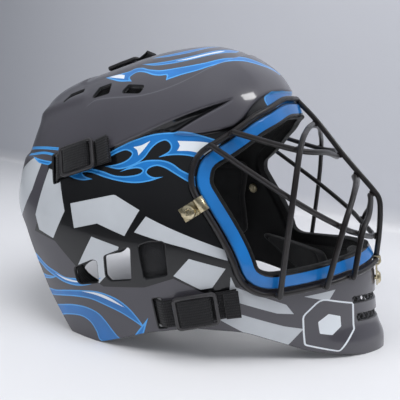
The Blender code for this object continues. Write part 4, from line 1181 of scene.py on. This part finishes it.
def crease_lines():
    """The sculpted steps' edges and middles, as open runs of (v, angle) on both halves."""
    found = []
    for line in (CREASE, BLADE_TOP, BLADE_LOW, DECK_LINE):
        for distance in np.linspace(-CREASE_WIDTH, CREASE_WIDTH, 5):
            for v, angle in placed_runs("side", beside(line, distance), False):
                found += [(v, angle), (v, -angle)]
    return found


def paint_of(points):
    """The paint's place in PAINT_ORDER at each base point, on the outer face."""
    number = {name: i for i, name in enumerate(PAINT_ORDER)}
    result = np.full(len(points), number["grey"])
    side_face = np.abs(points[:, 1]) > SIDE_FROM
    crown = points[:, 2] > CROWN_ABOVE
    front_crown = crown & (points[:, 0] > CROWN_AHEAD_OF)
    views = {"side": (points[:, (0, 2)], side_face, side_face),
             "top": (np.stack([points[:, 0], -np.abs(points[:, 1])], -1), front_crown, crown),
             "front": (points[:, 1:], front_crown, crown)}

    def fill(name, view, kind, edge=None, edge_width=0.0, which=1):
        """Paints inside each outline of a kind, and its edge strip in another paint."""
        flat = views[view][0]
        for loop in PAINTED[view].get(kind, ()):
            where = np.nonzero(inside(flat, loop) & views[view][which])[0]
            result[where] = number[name]
            if edge and len(where):
                result[where[line_distance(flat[where], loop, True) < edge_width]] = number[edge]

    fill("black", "side", "panel")
    fill("silver", "side", "shard")
    for view in views:
        fill("blue", view, "flame", "sky", FLAME_LINE)
        fill("blue", view, "patch", "sky", FLAME_LINE)
        # Painted highlights: the flames' glints filled in white
        fill("white", view, "glint", which=2)
    fill("grey", "side", "emblem", "white", EMBLEM_LINE)
    fill("white", "side", "core")
    away = line_distance(points, OPENING_FINE, True)
    band = away < RIM_WIDTH
    result[band] = number["blue"]
    result[band & ((away < RIM_LINE) | (away > RIM_WIDTH - RIM_LINE))] = number["black"]
    return result


def build_shell():
    """The whole shell as one painted sheet with its openings cut and its edges rounded."""
    holes = [OPENING_LOOP]
    for outline in (*EAR_HOLES, *CROWN_VENTS):
        holes += both_sides("side", rounded(outline, spacing=3.0))
    for strap in (UPPER_STRAP, LOWER_STRAP):
        holes += both_sides("side", slot_loop(strap))
    top_slot = slot_loop(TOP_STRAP)
    holes.append(locate("top", top_slot[:, 0], top_slot[:, 1]))
    for vent in CHIN_VENTS:
        loop = chin_vent_loop(vent)
        holes.append(locate("front", loop[:, 0], loop[:, 1]))
    lines = paint_lines() + crease_lines()
    for distance in (RIM_LINE, RIM_WIDTH - RIM_SLOPE, RIM_WIDTH - RIM_LINE, RIM_WIDTH):
        ring_v, ring_angle = offset_on_shell(distance)
        lines.append((np.append(ring_v, ring_v[0]), np.append(ring_angle, ring_angle[0])))
    v, angle, triangles = shell_sheet(outer_loop(), holes, lines, SHEET_SPACING)
    outside = outer_point(v, angle)
    lining = model_face(v, angle, -WALL)
    standing = model_face(v, angle)[:, 2] < REST_BELOW
    outside[standing, 2] = 0
    lining[standing, 2] = 0
    normals = normal_of(outer_point, v, angle)
    count = len(triangles)
    points, faces, all_normals = rounded_sheet(outside, lining, normals, triangles)
    points[:, 2] = np.maximum(points[:, 2], 0)
    middles = base_point(v, angle)[triangles].mean(axis=1)
    slots = np.full(len(faces), PAINT_ORDER.index("lining"))
    slots[:count] = paint_of(middles)
    slots[2 * count:] = PAINT_ORDER.index("black")
    publish("shell_painted", points, faces, list(PAINTS.values()), ["shell"], normals=all_normals,
            slots=slots, surface="shell")


# ---- the cage -----------------------------------------------------------------------------------
UPPER_ON_ARCH = ((96.5, -76.7, 169.4), (0.55, -0.72, 0.41))
LOWER_ON_ARCH = ((96.6, -89.5, 131.9), (0.41, -0.81, 0.10))
LOWER_ON_MIDDLE = ((133.3, -62.7, 111.9), (0.76, -0.63, 0.13))
LOWER_ON_INNER = ((147, -40, 104.3), (0.88, -0.44, 0.16))
OUT_TOP = np.array((0.73, 0, 0.68))
BAR_POINTS = ((98.3, 0, 191.8), (122.2, 0, 165.9), (138.2, 0, 149.8), (152, 0, 136.1),
              (157.4, 0, 128.8), (159.6, 0, 118), (160.9, 0, 98))
ALONG_TOP = np.array((0.68, 0, -0.73))
INNER_TOP = np.array((153.2, 0, 134.9))
LOWER_MIDDLE = np.array((161, 0, 96.4))
BUTT = WIRE / 2 + 0.45  # the centre bar's ends stop this far from the perimeter wire's middle
FOOT_LAYERS = 1.12      # how far the arches' feet lie over the perimeter wire
WELD_REACH = 1.6 * WIRE     # bars whose middles come nearer than this are welded
WELD_SIZE = (3.3, 0.42, 2.3)    # a bead's half length, its share of the gap and its half thickness


FAR = 1e3                # rules a point out


def pushed(crossing, layers):
    """A crossing's place, moved out by a number of wire layers."""
    place, out = (np.array(a, float) for a in crossing)
    return place + out / np.linalg.norm(out) * LAYER * layers


def perimeter_path():
    v, angle = offset_on_shell(CAGE_OFFSET)
    return lifted(v, angle, WIRE / 2 + CAGE_CLEAR), base_normal(v, angle)


def closest_points(first, second):
    """The closest pair of points of two paths."""
    gaps = np.linalg.norm(first[:, None] - second[None], axis=-1)
    i, j = np.unravel_index(np.argmin(gaps), gaps.shape)
    return i, j, gaps[i, j]


def build_cage():
    """Seven bars with a bead at each weld; returns the perimeter wire's points."""
    rim, rim_out = perimeter_path()
    routes = {"cage_perimeter": [np.array(p) for p in smooth_path([*rim, rim[0]], 2)[:-1]]}

    def on_rim(test, layers=FOOT_LAYERS):
        """A point outside the perimeter wire where test is least, on the right half."""
        right = np.nonzero(rim[:, 1] <= 0.01)[0]
        best = right[np.argmin([test(p) for p in rim[right]])]
        return rim[best] + rim_out[best] * LAYER * layers

    brow = on_rim(lambda p: abs(p[1]) - p[2] * 0.001 + (p[2] < 150) * FAR, 0)
    chin = middle_of(rim)
    bar = [brow + ALONG_TOP * BUTT, *BAR_POINTS, chin + np.array((0, 0, BUTT))]
    routes["cage_centre_bar"] = smooth_path(bar, 10)

    def symmetric(name, right_half, middle):
        path = [*right_half, middle, *[np.array(p) * (1, -1, 1) for p in reversed(right_half)]]
        routes[name] = smooth_path(path, 10)

    def side_end(height, above):
        return on_rim(lambda p: abs(p[2] - height) + (p[2] < above) * FAR)

    def foot(y):
        return on_rim(lambda p: abs(p[1] + y) + (p[2] > 100) * FAR)

    under_bar = OUT_TOP * LAYER
    symmetric("cage_upper_cross", [side_end(176.5, 150), pushed(UPPER_ON_ARCH, -1), (113, -45, 166.5)],
              BAR_POINTS[1] - under_bar)
    symmetric("cage_lower_cross",
              [side_end(164, 130), *[pushed(p, -1) for p in (LOWER_ON_ARCH, LOWER_ON_MIDDLE,
                                                             LOWER_ON_INNER)]],
              LOWER_MIDDLE - np.array((LAYER, 0, 0)))
    symmetric("cage_outer_arch", [foot(87), pushed(LOWER_ON_ARCH, 0), pushed(UPPER_ON_ARCH, 0),
                                  (96.6, -53, 182.5), (97.2, -27, 188)], BAR_POINTS[0] - under_bar)
    symmetric("cage_middle_arch", [foot(64), pushed(LOWER_ON_MIDDLE, 0), (136.1, -50, 128),
                                   (137.2, -38, 137.2), (137, -20, 143.5)], BAR_POINTS[2] - under_bar)
    symmetric("cage_inner_arch", [foot(46), pushed(LOWER_ON_INNER, 0), (150.4, -24, 117),
                                  (150.6, -9, 127.5)], INNER_TOP - under_bar)
    parts = {name: [tube(path, WIRE / 2, closed=name == "cage_perimeter")]
             for name, path in routes.items()}
    for one, two in itertools.combinations(routes, 2):
        first, second = np.array(routes[one]), np.array(routes[two])
        for side in (-1, 1):
            mine, other = first[first[:, 1] * side >= -0.5], second[second[:, 1] * side >= -0.5]
            i, j, gap = closest_points(mine, other)
            if gap > WELD_REACH:
                continue
            ahead = mine[min(i + 1, len(mine) - 1)] - mine[max(i - 1, 0)]
            size = (WELD_SIZE[0], gap * WELD_SIZE[1], WELD_SIZE[2])
            parts[two].append(bead((mine[i] + other[j]) / 2, ahead, mine[i] - other[j], size))
    for name, solids in parts.items():
        publish(name + "_bars", *joined(solids), POWDER, [name], surface="wire")
    return rim


# ---- edge trim ----------------------------------------------------------------------------------
def section_ring(half_a, half_b, middle_a, middle_b, count, power):
    """A rounded-rectangle section, as (a, b) points; a lower power is squarer."""
    return [(middle_a + half_a * math.copysign(abs(c) ** power, c),
             middle_b + half_b * math.copysign(abs(s) ** power, s)) for c, s in ring_at(count)]


def swept(middles, firsts, seconds, section, closed):
    """A solid swept along middle points with a section in the (first, second) directions."""
    points = [middle + first * a + second * b
              for middle, first, second in zip(middles, firsts, seconds) for a, b in section]
    faces = []
    rows, count = len(middles), len(section)
    for i in range(rows if closed else rows - 1):
        a, b = count * i, count * ((i + 1) % rows)
        faces += [(a + k, a + (k + 1) % count, b + (k + 1) % count, b + k) for k in range(count)]
    if not closed:
        faces.append(tuple(range(count))[::-1])
        faces.append(tuple(count * (rows - 1) + k for k in range(count)))
    return points, faces


# Half sizes and middle, into the opening and off the face, and the ring's points and squareness
TRIM_SECTION = (1.1, 3.6, 1.2, -0.5, 16, 0.6)


def build_edge_trim():
    v, angle = OPENING_LOOP
    normal = base_normal(v, angle)
    across = -sideways(OPENING_FINE, v, angle)
    points, faces = swept(OPENING_FINE, across, normal, section_ring(*TRIM_SECTION), True)
    publish("face_edge_bead", points, faces, TRIM, ["face_edge_trim"], surface="trim")


# ---- fixings ------------------------------------------------------------------------------------
SCREW_PROFILE = ((0, 3.1), (1.5, 3.1), (1.75, 3.4), (1.95, 4.8), (2.5, 5.05), (3.5, 4.8), (4.5, 4.2),
                 (5.3, 3.4), (5.75, 2.85), (5.8, 2.55), (5.5, 2.4), (2.0, 2.4), (2.0, -9.0), (0, -9.0))
NUT_PROFILE = ((2.35, -8.6), (2.35, -0.4), (2.8, -0.4), (2.8, -6.1), (5.3, -6.1), (5.6, -6.4),
               (5.6, -7.2), (5.2, -8.2), (4.2, -8.6))
CLIP_TOP = CLIP_BASE + CLIP_THICK
RIDGES = range(-4, 5)
RIDGE_PITCH = 1.35
RIDGE_HALF = 0.3
FORK_HALF = (WIRE + 1.8) / 2    # half the gap in the chin clip, for the centre bar
FORK_ROOT = 5.0         # from the perimeter wire's middle back to the gap's root


def recess(radius, height, turn):
    """Six shallow lobes round the screw's drive recess."""
    if 0 < radius < 2.0 and height > 2.5:
        return radius * (1 + 0.16 * math.cos(6 * turn))
    return radius


def knurled(radius, _, turn):
    """Twelve shallow lobes round the nut's flange."""
    return radius * (1 + 0.02 * math.cos(12 * turn)) if radius > 5 else radius


def clip_profile(reach, wire_height):
    """A J-shaped strip in the (along, up) plane: flat base, over the wire and down behind it."""
    inner = WIRE / 2 + HOOK_CLEAR
    outer = inner + CLIP_THICK
    turns = [math.radians(a) for a in range(180, -46, -15)]

    def arc(radius):
        return [(reach + radius * math.cos(t), wire_height + radius * math.sin(t)) for t in turns]

    return [(-CLIP_END, CLIP_BASE), (-CLIP_END, CLIP_TOP), (reach - outer - 0.6, CLIP_TOP),
            *arc(outer), *reversed(arc(inner)), (reach - inner, CLIP_BASE)]


def prism(outline, frame, low, high):
    """A flat outline in a frame's XY plane, drawn out from low to high along its Z."""
    count = len(outline)
    points = [np.array(frame @ Vector((a, b, low))) for a, b in outline]
    points += [np.array(frame @ Vector((a, b, high))) for a, b in outline]
    faces = [tuple(range(count))[::-1], tuple(range(count, 2 * count))]
    faces += [(i, (i + 1) % count, (i + 1) % count + count, i + count) for i in range(count)]
    return points, faces


def middle_of(rim):
    """The lower point where the perimeter wire crosses the middle."""
    for a, b in zip(rim, np.roll(rim, -1, axis=0)):
        if a[1] * b[1] <= 0 and a[2] < 150:
            return a + (b - a) * a[1] / (a[1] - b[1])
    return rim[0]


def closest_on_loop(loop, place):
    best = loop[0]
    for a, b in zip(loop, np.roll(loop, -1, axis=0)):
        t = min(1, max(0, (place - a) @ (b - a) / ((b - a) @ (b - a))))
        point = a + (b - a) * t
        if np.linalg.norm(point - place) < np.linalg.norm(best - place):
            best = point
    return best


def build_fixing(label, view, screw, rim, forked, hands):
    """A clip over the nearest wire with its ridges, its screw and the nut behind the shell."""
    v, angle = locate(view, screw[0], screw[1])
    seat = base_point(v, angle)[0]
    up = base_normal(v, angle)[0]
    nearest = middle_of(rim) if forked else closest_on_loop(rim, seat)
    frame = axes_frame(seat, nearest - seat, up)
    reach, _, height = frame.inverted() @ Vector(nearest)
    side_frame = frame @ Matrix.Rotation(math.radians(90), 4, "X")
    half = CLIP_WIDTH / 2
    profile = clip_profile(reach, height)
    if forked:
        root = reach - FORK_ROOT
        base = [(-CLIP_END, CLIP_BASE), (-CLIP_END, CLIP_TOP), (root, CLIP_TOP), (root, CLIP_BASE)]
        solids = [prism(profile, side_frame, FORK_HALF, half),
                  prism(profile, side_frame, -half, -FORK_HALF),
                  prism(base, side_frame, -FORK_HALF - 0.05, FORK_HALF + 0.05)]
    else:
        solids = [prism(profile, side_frame, -half, half)]
    ridge_end = reach - WIRE / 2 - HOOK_CLEAR - CLIP_THICK - 1.2
    ridge = [(5.0, CLIP_TOP - 0.1), (5.2, CLIP_TOP + 0.3), (ridge_end, CLIP_TOP + 0.3),
             (ridge_end + 0.2, CLIP_TOP - 0.1)]
    for k in RIDGES:
        if not forked or abs(k) >= 3:
            middle = k * RIDGE_PITCH
            solids.append(prism(ridge, side_frame, middle - RIDGE_HALF, middle + RIDGE_HALF))
    clip_solid = joined(solids)
    screw_solid = lathe(SCREW_PROFILE, frame, recess)
    nut_solid = lathe(NUT_PROFILE, frame, knurled)
    for hand in hands:
        def steel(kind, way, solid, **settings):
            points, faces = solid
            return publish(f"{label}_{kind}_{way}{hand}", for_hand(hand, points), faces, STEEL,
                           [f"{label}_{kind}{hand}"], surface="clip", **settings)

        clip = steel("clip", "bent", clip_solid)
        modified(clip, "BEVEL", width=0.00028, segments=2, limit_method="ANGLE").data.shade_smooth()
        clip.data.set_sharp_from_angle(angle=math.radians(50))
        steel("screw", "turned", screw_solid, sharp=38)
        steel("nut", "turned", nut_solid, sharp=38)


# ---- lining -------------------------------------------------------------------------------------
# Rings of a cushion and of the plate: (size, swell)
PAD_RINGS = ((1.0, 0.0), (0.995, 0.28), (0.98, 0.52), (0.955, 0.72), (0.92, 0.86), (0.88, 0.93),
             (0.845, 0.95), (0.82, 0.80), (0.795, 0.96), (0.74, 1.02), (0.62, 1.04), (0.45, 1.05),
             (0.25, 1.06), (0.1, 1.06))


def two_skins(outline, rings):
    """Flat points of rings that shrink to the outline's middle, their swells, both skins' faces
    and how many points the outline has."""
    loop = rounded(outline, spacing=3.0)
    centre = loop.mean(axis=0)
    flat = np.concatenate([centre + (loop - centre) * scale for scale, _ in rings] + [centre[None]])
    swells = np.array([swell for _, swell in rings for _ in loop] + [rings[-1][1]])
    skin = disc_faces(len(loop), len(rings))
    total = len(flat)
    return flat, swells, [*skin, *[tuple(i + total for i in reversed(f)) for f in skin]], len(loop)


def pillow(view, outline, top, thick):
    """A foam pad against the lining: crowned, with a stitched groove near its edge."""
    flat, swells, faces, _ = two_skins(outline, PAD_RINGS)
    v, angle = locate(view, flat[:, 0], flat[:, 1])
    base, normals = base_point(v, angle), base_normal(v, angle)
    if view != "side":
        base[np.abs(flat[:, VIEW_AXES[view].index(1)]) < 0.01, 1] = 0
    middle = top - thick * 0.45
    inner = base + normals * (middle - thick * 0.5 * swells)[:, None]
    outer = base + normals * (middle + (top - middle) * np.minimum(swells, 1) * 0.98)[:, None]
    return [*inner, *outer], faces


def welded(made):
    """Joins vertices that share a place."""
    work = bmesh.new()
    work.from_mesh(made.data)
    bmesh.ops.remove_doubles(work, verts=work.verts, dist=2e-5)
    bmesh.ops.recalc_face_normals(work, faces=work.faces)
    work.to_mesh(made.data)
    work.free()
    made.data.shade_smooth()
    return made


def build_pad(name, view, outline, finish=FOAM_CLOTH, thick=FOAM, hands=("",), surface="foam"):
    points, faces = pillow(view, outline, -(WALL + CLEAR), thick)
    for hand in hands:
        made = publish(f"{name}_cushion{hand}", for_hand(hand, points), faces, finish, [name + hand],
                       surface=surface)
        welded(made)


def build_lining():
    for name, (view, outline) in PADS.items():
        build_pad(name, view, outline)
    for name, (view, outline) in SIDE_PADS.items():
        build_pad(name, view, outline, hands=SIDES)
    build_pad("vent_liner", "side", VENT_LINER, YELLOW_FOAM, 5.0, SIDES, "yellow_foam")


GRILLE_LIFT = -2.2       # the ribs' middles, off the base surface
GRILLE_PITCH = 6.4
GRILLE_SLOPE = 0.8
GRILLE_WEAVE = 0.15     # how far the two ways of ribs lie apart
GRILLE_FRAME = 0.75
GRILLE_RIB = 0.6
GRILLE_REACH = 54


def build_grilles():
    """Criss-cross ribs in a frame behind each chin vent."""
    for level, vent in zip(("upper", "lower"), CHIN_VENTS):
        loop = chin_vent_loop(vent, grow=0.4, spacing=2.0)
        v, angle = locate("front", loop[:, 0], loop[:, 1])
        solids = [tube(lifted(v, angle, GRILLE_LIFT), GRILLE_FRAME, 10, closed=True)]
        t = np.linspace(loop[:, 1].min(), loop[:, 1].max(), 40)
        middle = (t[0] + t[-1]) / 2
        for slope in (GRILLE_SLOPE, -GRILLE_SLOPE):
            for offset in np.arange(-GRILLE_REACH, GRILLE_REACH, GRILLE_PITCH):
                line = np.stack([offset + (t - middle) * slope, t], -1)
                kept = line[inside(line, loop)]
                if len(kept) < 5:
                    continue
                picked = kept[:: max(1, len(kept) // 5)]
                rib_v, rib_angle = locate("front", picked[:, 0], picked[:, 1])
                path = lifted(rib_v, rib_angle, GRILLE_LIFT + GRILLE_WEAVE * slope)
                solids.append(tube(path, GRILLE_RIB, 8))
        publish(f"chin_grille_{level}", *joined(solids), GRILLE, [f"chin_mesh_{level}"], surface="mesh")


# ---- harness ------------------------------------------------------------------------------------
def plate_point(degrees, height, lift):
    """A point on the back plate's cupped drum."""
    turn = math.radians(degrees)
    radius = PLATE_RADIUS + lift
    lean = PLATE_CUP * (height - PLATE_MIDDLE) ** 2
    return np.array((PLATE_AXIS - (radius - lean) * math.cos(turn), (radius - lean) * math.sin(turn),
                     height))


PLATE_RINGS = ((1.0, 0.35), (0.99, 0.75), (0.975, 0.95), (0.95, 1.0), (0.93, 1.0), (0.91, 0.62),
               (0.88, 0.58), (0.80, 0.58), (0.70, 0.58), (0.62, 0.6), (0.60, 0.92), (0.56, 0.95),
               (0.54, 0.62), (0.4, 0.58), (0.2, 0.58))


def build_back_plate():
    """The plate with its raised ribs, and the crowned pad on its inner face."""
    corners = [(a * MM_PER_DEGREE, b, r) for a, b, r in PLATE_OUTLINE]
    for name, rings, low, high, finish, surface in (
            ("back_plate", PLATE_RINGS, 0.0, PLATE_THICK, PLATE, "plate"),
            ("back_plate_pad", PAD_RINGS, PLATE_PAD[1], PLATE_PAD[0], FOAM_CLOTH, "foam")):
        flat, swells, faces, count = two_skins(corners, rings)
        middle, half = (low + high) / 2, (high - low) / 2
        if surface == "plate":
            tops = middle + half * (2 * swells - 1)
            bottoms = np.full(len(swells), low)
            bottoms[:count] = low + 0.5
        else:
            tops = middle + half * np.minimum(swells, 1)
            bottoms = middle - half * swells / 1.06
        points = [plate_point(a / MM_PER_DEGREE, b, t)
                  for lifts in (tops, bottoms) for (a, b), t in zip(flat, lifts)]
        total = len(flat)
        faces += [(i, (i + 1) % count, total + (i + 1) % count, total + i) for i in range(count)]
        made = publish(f"{name}_moulded" if surface == "plate" else f"{name}_cushion", points, faces,
                       finish, [name], "back_plate_unit", surface=surface)
        welded(made)


STRAP_STEPS = 5         # points from one station of a strap to the next
# The webbing that rises over the buckle's middle bar: (along the strap, off its seat)
HUMP = ((-13.3, 0.2), (-12.9, 1.8), (-11.6, 2.9), (-6, 3.5), (0, 3.7), (6, 3.5), (9.6, 2.9), (10.9, 1.8),
        (11.3, 0.2))
HUMP_THICK = 1.3
# The sewn end: (along the strap from its tip, how much of the rise it has)
FOLD = ((-10.5, None), (-8.0, 0), (-5.0, 0.5), (-2.0, 1), (0.6, 1.7))
FOLD_LIFT = 2.3
FOLD_START = 1.9
RING_WIDTH = 1.2        # half width of the buckle's side rails
RING_CORNER = 2.6
MIDDLE_BAR_LIFT = 1.2
MIDDLE_BAR_HALF = 1.1


def strap_line(strap):
    """Middle points, widthways vectors and normals of a strap from the back plate to its end."""
    slot = np.array(strap["slot"], float)
    heading = strap_heading(strap)
    length = np.linalg.norm(np.array(strap["end"]) - slot)
    lift_out = WEBBING_LIFT + WEBBING_THICK / 2
    stations = [(-3.4, -WALL - 1.9), (0.0, -WALL / 2), (4.2, lift_out)]
    stations += [(s, lift_out) for s in np.linspace(10, length, 5)]
    places = np.array([slot + heading * s for s, _ in stations])
    v, angle = locate(strap["view"], places[:, 0], places[:, 1])
    angle = np.where(np.abs(angle) > math.pi - 1e-3, math.pi, angle)
    normals = base_normal(v, angle)
    middles = lifted(v, angle, [lift for _, lift in stations])
    if strap["view"] == "top":
        middles[:, 1] = 0
        normals[:, 1] = 0
        normals /= np.linalg.norm(normals, axis=1, keepdims=True)
    middles = smooth_path([*strap["inside"], *middles], STRAP_STEPS)
    hints = smooth_path([*[normals[0]] * len(strap["inside"]), *normals], STRAP_STEPS)
    acrosses, ups = [], []
    for i, hint in enumerate(hints):
        ahead = middles[min(i + 1, len(middles) - 1)] - middles[max(i - 1, 0)]
        ahead = ahead / np.linalg.norm(ahead)
        across = np.cross(hint, ahead)
        across /= np.linalg.norm(across)
        acrosses.append(across)
        ups.append(np.cross(ahead, across))
    return middles, acrosses, ups


def band(middles, acrosses, ups, width, thick):
    """A woven band with rounded edges, and its texture places in centimetres."""
    ring = section_ring(width / 2, thick / 2, 0, 0, 20, 0.35)
    points, faces = swept(middles, acrosses, ups, ring, False)
    run = np.concatenate([[0], np.cumsum(np.linalg.norm(np.diff(middles, axis=0), axis=1))])
    uv = [(a / 10, s / 10) for s in run for a, _ in ring]
    return points, faces, uv


def turned(frame, direction):
    """A direction given in a frame's own axes, as an array."""
    return np.array(frame.to_3x3() @ Vector(direction))


def buckle_solid(frame, low):
    """A rounded rectangular ring of oval bar, with a bar across its middle."""
    half_bar = BUCKLE_BAR / 2
    length, width = BUCKLE_LENGTH / 2 - half_bar, BUCKLE_WIDTH / 2 - RING_WIDTH
    loop = rounded([(-length, -width, RING_CORNER), (length, -width, RING_CORNER),
                    (length, width, RING_CORNER), (-length, width, RING_CORNER)], spacing=1.5)
    ahead = np.roll(loop, -1, axis=0) - np.roll(loop, 1, axis=0)
    ahead /= np.linalg.norm(ahead, axis=1, keepdims=True)
    up = turned(frame, (0, 0, 1))
    middles = [np.array(frame @ Vector((a, b, low + BUCKLE_THICK / 2))) for a, b in loop]
    ring = swept(middles, [turned(frame, (b, -a, 0)) for a, b in ahead], [up] * len(loop),
                 section_ring(half_bar, BUCKLE_THICK / 2, 0, 0, 14, 0.7), True)
    reach = BUCKLE_WIDTH / 2 - 2
    line = [np.array(frame @ Vector((0, b, low + MIDDLE_BAR_LIFT)))
            for b in np.linspace(-reach, reach, 6)]
    bar = swept(line, [turned(frame, (1, 0, 0))] * 6, [up] * 6,
                section_ring(half_bar, MIDDLE_BAR_HALF, 0, 0, 12, 0.6), False)
    return joined([ring, bar])


def hump_band(frame, low):
    """The webbing that shows in the buckle's window."""
    path = smooth_path([np.array(frame @ Vector((a, 0, low + h))) for a, h in HUMP], 3)
    across = turned(frame, (0, 1, 0))
    ups = []
    for i in range(len(path)):
        ahead = path[min(i + 1, len(path) - 1)] - path[max(i - 1, 0)]
        ups.append(np.cross(ahead / np.linalg.norm(ahead), across))
    return band(path, [across] * len(path), ups, WEBBING_WIDTH - 0.6, HUMP_THICK)


def fold_band(tip, across, up, rise):
    """The doubled, sewn end of a strap."""
    ahead = np.cross(across, up)
    path = smooth_path([tip + ahead * a + up * (FOLD_START if share is None else FOLD_LIFT + share * rise)
                        for a, share in FOLD], 3)
    return band(path, [across] * len(path), [up] * len(path), WEBBING_WIDTH - 0.4, 1.5 + 0.8 * rise)


def build_strap(name, strap, hands=("",)):
    """A strap with its folded end, and the buckle and the webbing in its window."""
    middles, acrosses, ups = strap_line(strap)
    on_top = strap["view"] == "top"
    v, angle = locate(strap["view"], *strap["buckle"])
    seat, up = base_point(v, angle)[0], base_normal(v, angle)[0]
    if on_top:
        seat[1] = up[1] = 0
    near = min(range(len(middles)), key=lambda i: np.linalg.norm(middles[i] - seat))
    frame = axes_frame(seat, middles[near + 2] - middles[near - 2], up)
    low = WEBBING_LIFT + WEBBING_THICK + BUCKLE_LIFT
    buckle_points, buckle_faces = buckle_solid(frame, low)
    hump_points, hump_faces, hump_uv = hump_band(frame, low)
    run = band(middles, acrosses, ups, WEBBING_WIDTH, WEBBING_THICK)
    fold = fold_band(middles[-1], acrosses[-1], ups[-1], 2.2 if on_top else 1.0)
    points, faces = joined([run[:2], fold[:2]])
    for hand in hands:
        strap_node, buckle_node = f"{name}_strap{hand}", f"{name}_buckle{hand}"
        made = publish(f"{strap_node}_webbing", for_hand(hand, points), faces, WEBBING, [strap_node],
                       body=None, uv=[*run[2], *fold[2]], surface="webbing", sharp=60)
        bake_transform(made)
        publish(f"{buckle_node}_frame", for_hand(hand, buckle_points), buckle_faces, BUCKLE,
                [buckle_node], buckle_node, surface="buckle", sharp=60)
        publish(f"{buckle_node}_loop", for_hand(hand, hump_points), hump_faces, WEBBING, (),
                buckle_node, uv=hump_uv, surface="webbing", sharp=60)


def build_harness():
    build_back_plate()
    build_strap("upper", UPPER_STRAP, SIDES)
    build_strap("lower", LOWER_STRAP, SIDES)
    build_strap("top", TOP_STRAP)


# ---- the surroundings and the camera ------------------------------------------------------------
def build_stage():
    """A floor and a wall in one sheet, the wall turned a little from the camera."""
    depth, height, curve = 0.62, 1.6, 0.02
    profile = [(-1.6, 0.0), (depth - curve, 0.0)]
    profile += [(depth - curve + curve * math.sin(t), curve - curve * math.cos(t))
                for t in np.linspace(0.2, math.pi / 2, 6)]
    profile.append((depth, height))
    turn = Matrix.Rotation(math.radians(-19.4), 4, "Z")
    rows = len(profile)
    mesh = bpy.data.meshes.new("backdrop")
    mesh.from_pydata([tuple(turn @ Vector((x, y, z))) for x in (-3.0, 3.0) for y, z in profile], [],
                     [(i, i + 1, rows + i + 1, rows + i) for i in range(rows - 1)])
    mesh.shade_smooth()
    made, tree, shader = nodes_of("backdrop", 0.6)
    rise = height_share(tree, "Object", 0.004, 0.05)
    shade = mixed(tree, rise, (0.70, 0.70, 0.72), (0.52, 0.53, 0.57))
    tree.links.new(shade, shader.inputs["Base Color"])
    bumped(tree, shader, noise(tree, 900, 3), 0.05, 0.0004)
    mesh.materials.append(made)
    backdrop = bpy.data.objects.new("backdrop", mesh)
    bpy.context.collection.objects.link(backdrop)


def height_share(tree, coordinates, low, high):
    """How far the Z of a texture coordinate has come from low to high."""
    place = added(tree, "TexCoord").outputs[coordinates]
    split = added(tree, "SeparateXYZ", {"Vector": place})
    return added(tree, "MapRange", {"Value": split.outputs["Z"]}, From_Min=low,
                 From_Max=high).outputs["Result"]


def area_light(name, place, target, size, power, mirrored=False):
    """A rectangular lamp that faces a target; mirrored lamps also show in glossy surfaces."""
    light = bpy.data.lights.new(name, "AREA")
    light.shape = "RECTANGLE"
    light.size, light.size_y = size
    light.energy = power
    made = bpy.data.objects.new(name, light)
    made.location = place
    made.rotation_euler = (Vector(target) - Vector(place)).to_track_quat("-Z", "Y").to_euler()
    made.visible_glossy = mirrored
    bpy.context.collection.objects.link(made)


def build_lights():
    world = bpy.data.worlds.new("studio")
    world.use_nodes = True
    tree = world.node_tree
    shade = mixed(tree, height_share(tree, "Generated", 0.15, 0.9), (0.10, 0.105, 0.115),
                  (0.62, 0.66, 0.72))
    tree.links.new(shade, tree.nodes["Background"].inputs["Color"])
    tree.nodes["Background"].inputs["Strength"].default_value = 0.8
    bpy.context.scene.world = world
    bpy.context.scene.view_settings.view_transform = "Standard"
    middle = (0, 0, 0.12)
    area_light("key", (-0.7, -1.0, 1.4), middle, (0.7, 0.45), 11)
    area_light("top", (0.3, -0.3, 1.4), middle, (0.9, 0.8), 10)
    area_light("fill", (1.4, -0.9, 0.7), middle, (0.9, 1.0), 4)
    area_light("wall", (0.1, -0.1, 1.5), (0.25, 0.65, 0.4), (2.6, 0.5), 4.5)
    area_light("glint", (0.93, -0.03, 1.02), middle, (0.26, 0.14), 1.6, True)


def build_camera():
    right = Vector((0.9431, 0.3325, 0.0))
    ahead = Vector((-0.3289, 0.9329, -0.1469)).normalized()
    up = right.cross(ahead).normalized()
    roll = math.radians(4)
    rolled = right * math.cos(roll) + up * math.sin(roll)
    risen = up * math.cos(roll) - right * math.sin(roll)
    camera = bpy.data.cameras.new("camera")
    camera.lens = 42.3
    camera.sensor_width = 36
    camera.clip_start = 0.01
    made = bpy.data.objects.new("camera", camera)
    matrix = Matrix((rolled, risen, -ahead)).transposed().to_4x4()
    matrix.translation = Vector((0.1459, -0.4338, 0.1773))
    made.matrix_world = matrix
    bpy.context.collection.objects.link(made)
    bpy.context.scene.camera = made


build_stage()
build_lights()
build_camera()
build_shell()
build_edge_trim()
RIM_LOOP = build_cage()
build_fixing("side", "side", SIDE_SCREW, RIM_LOOP, False, SIDES)
build_fixing("chin", "front", CHIN_SCREW, RIM_LOOP, True, ("",))
build_lining()
build_grilles()
build_harness()
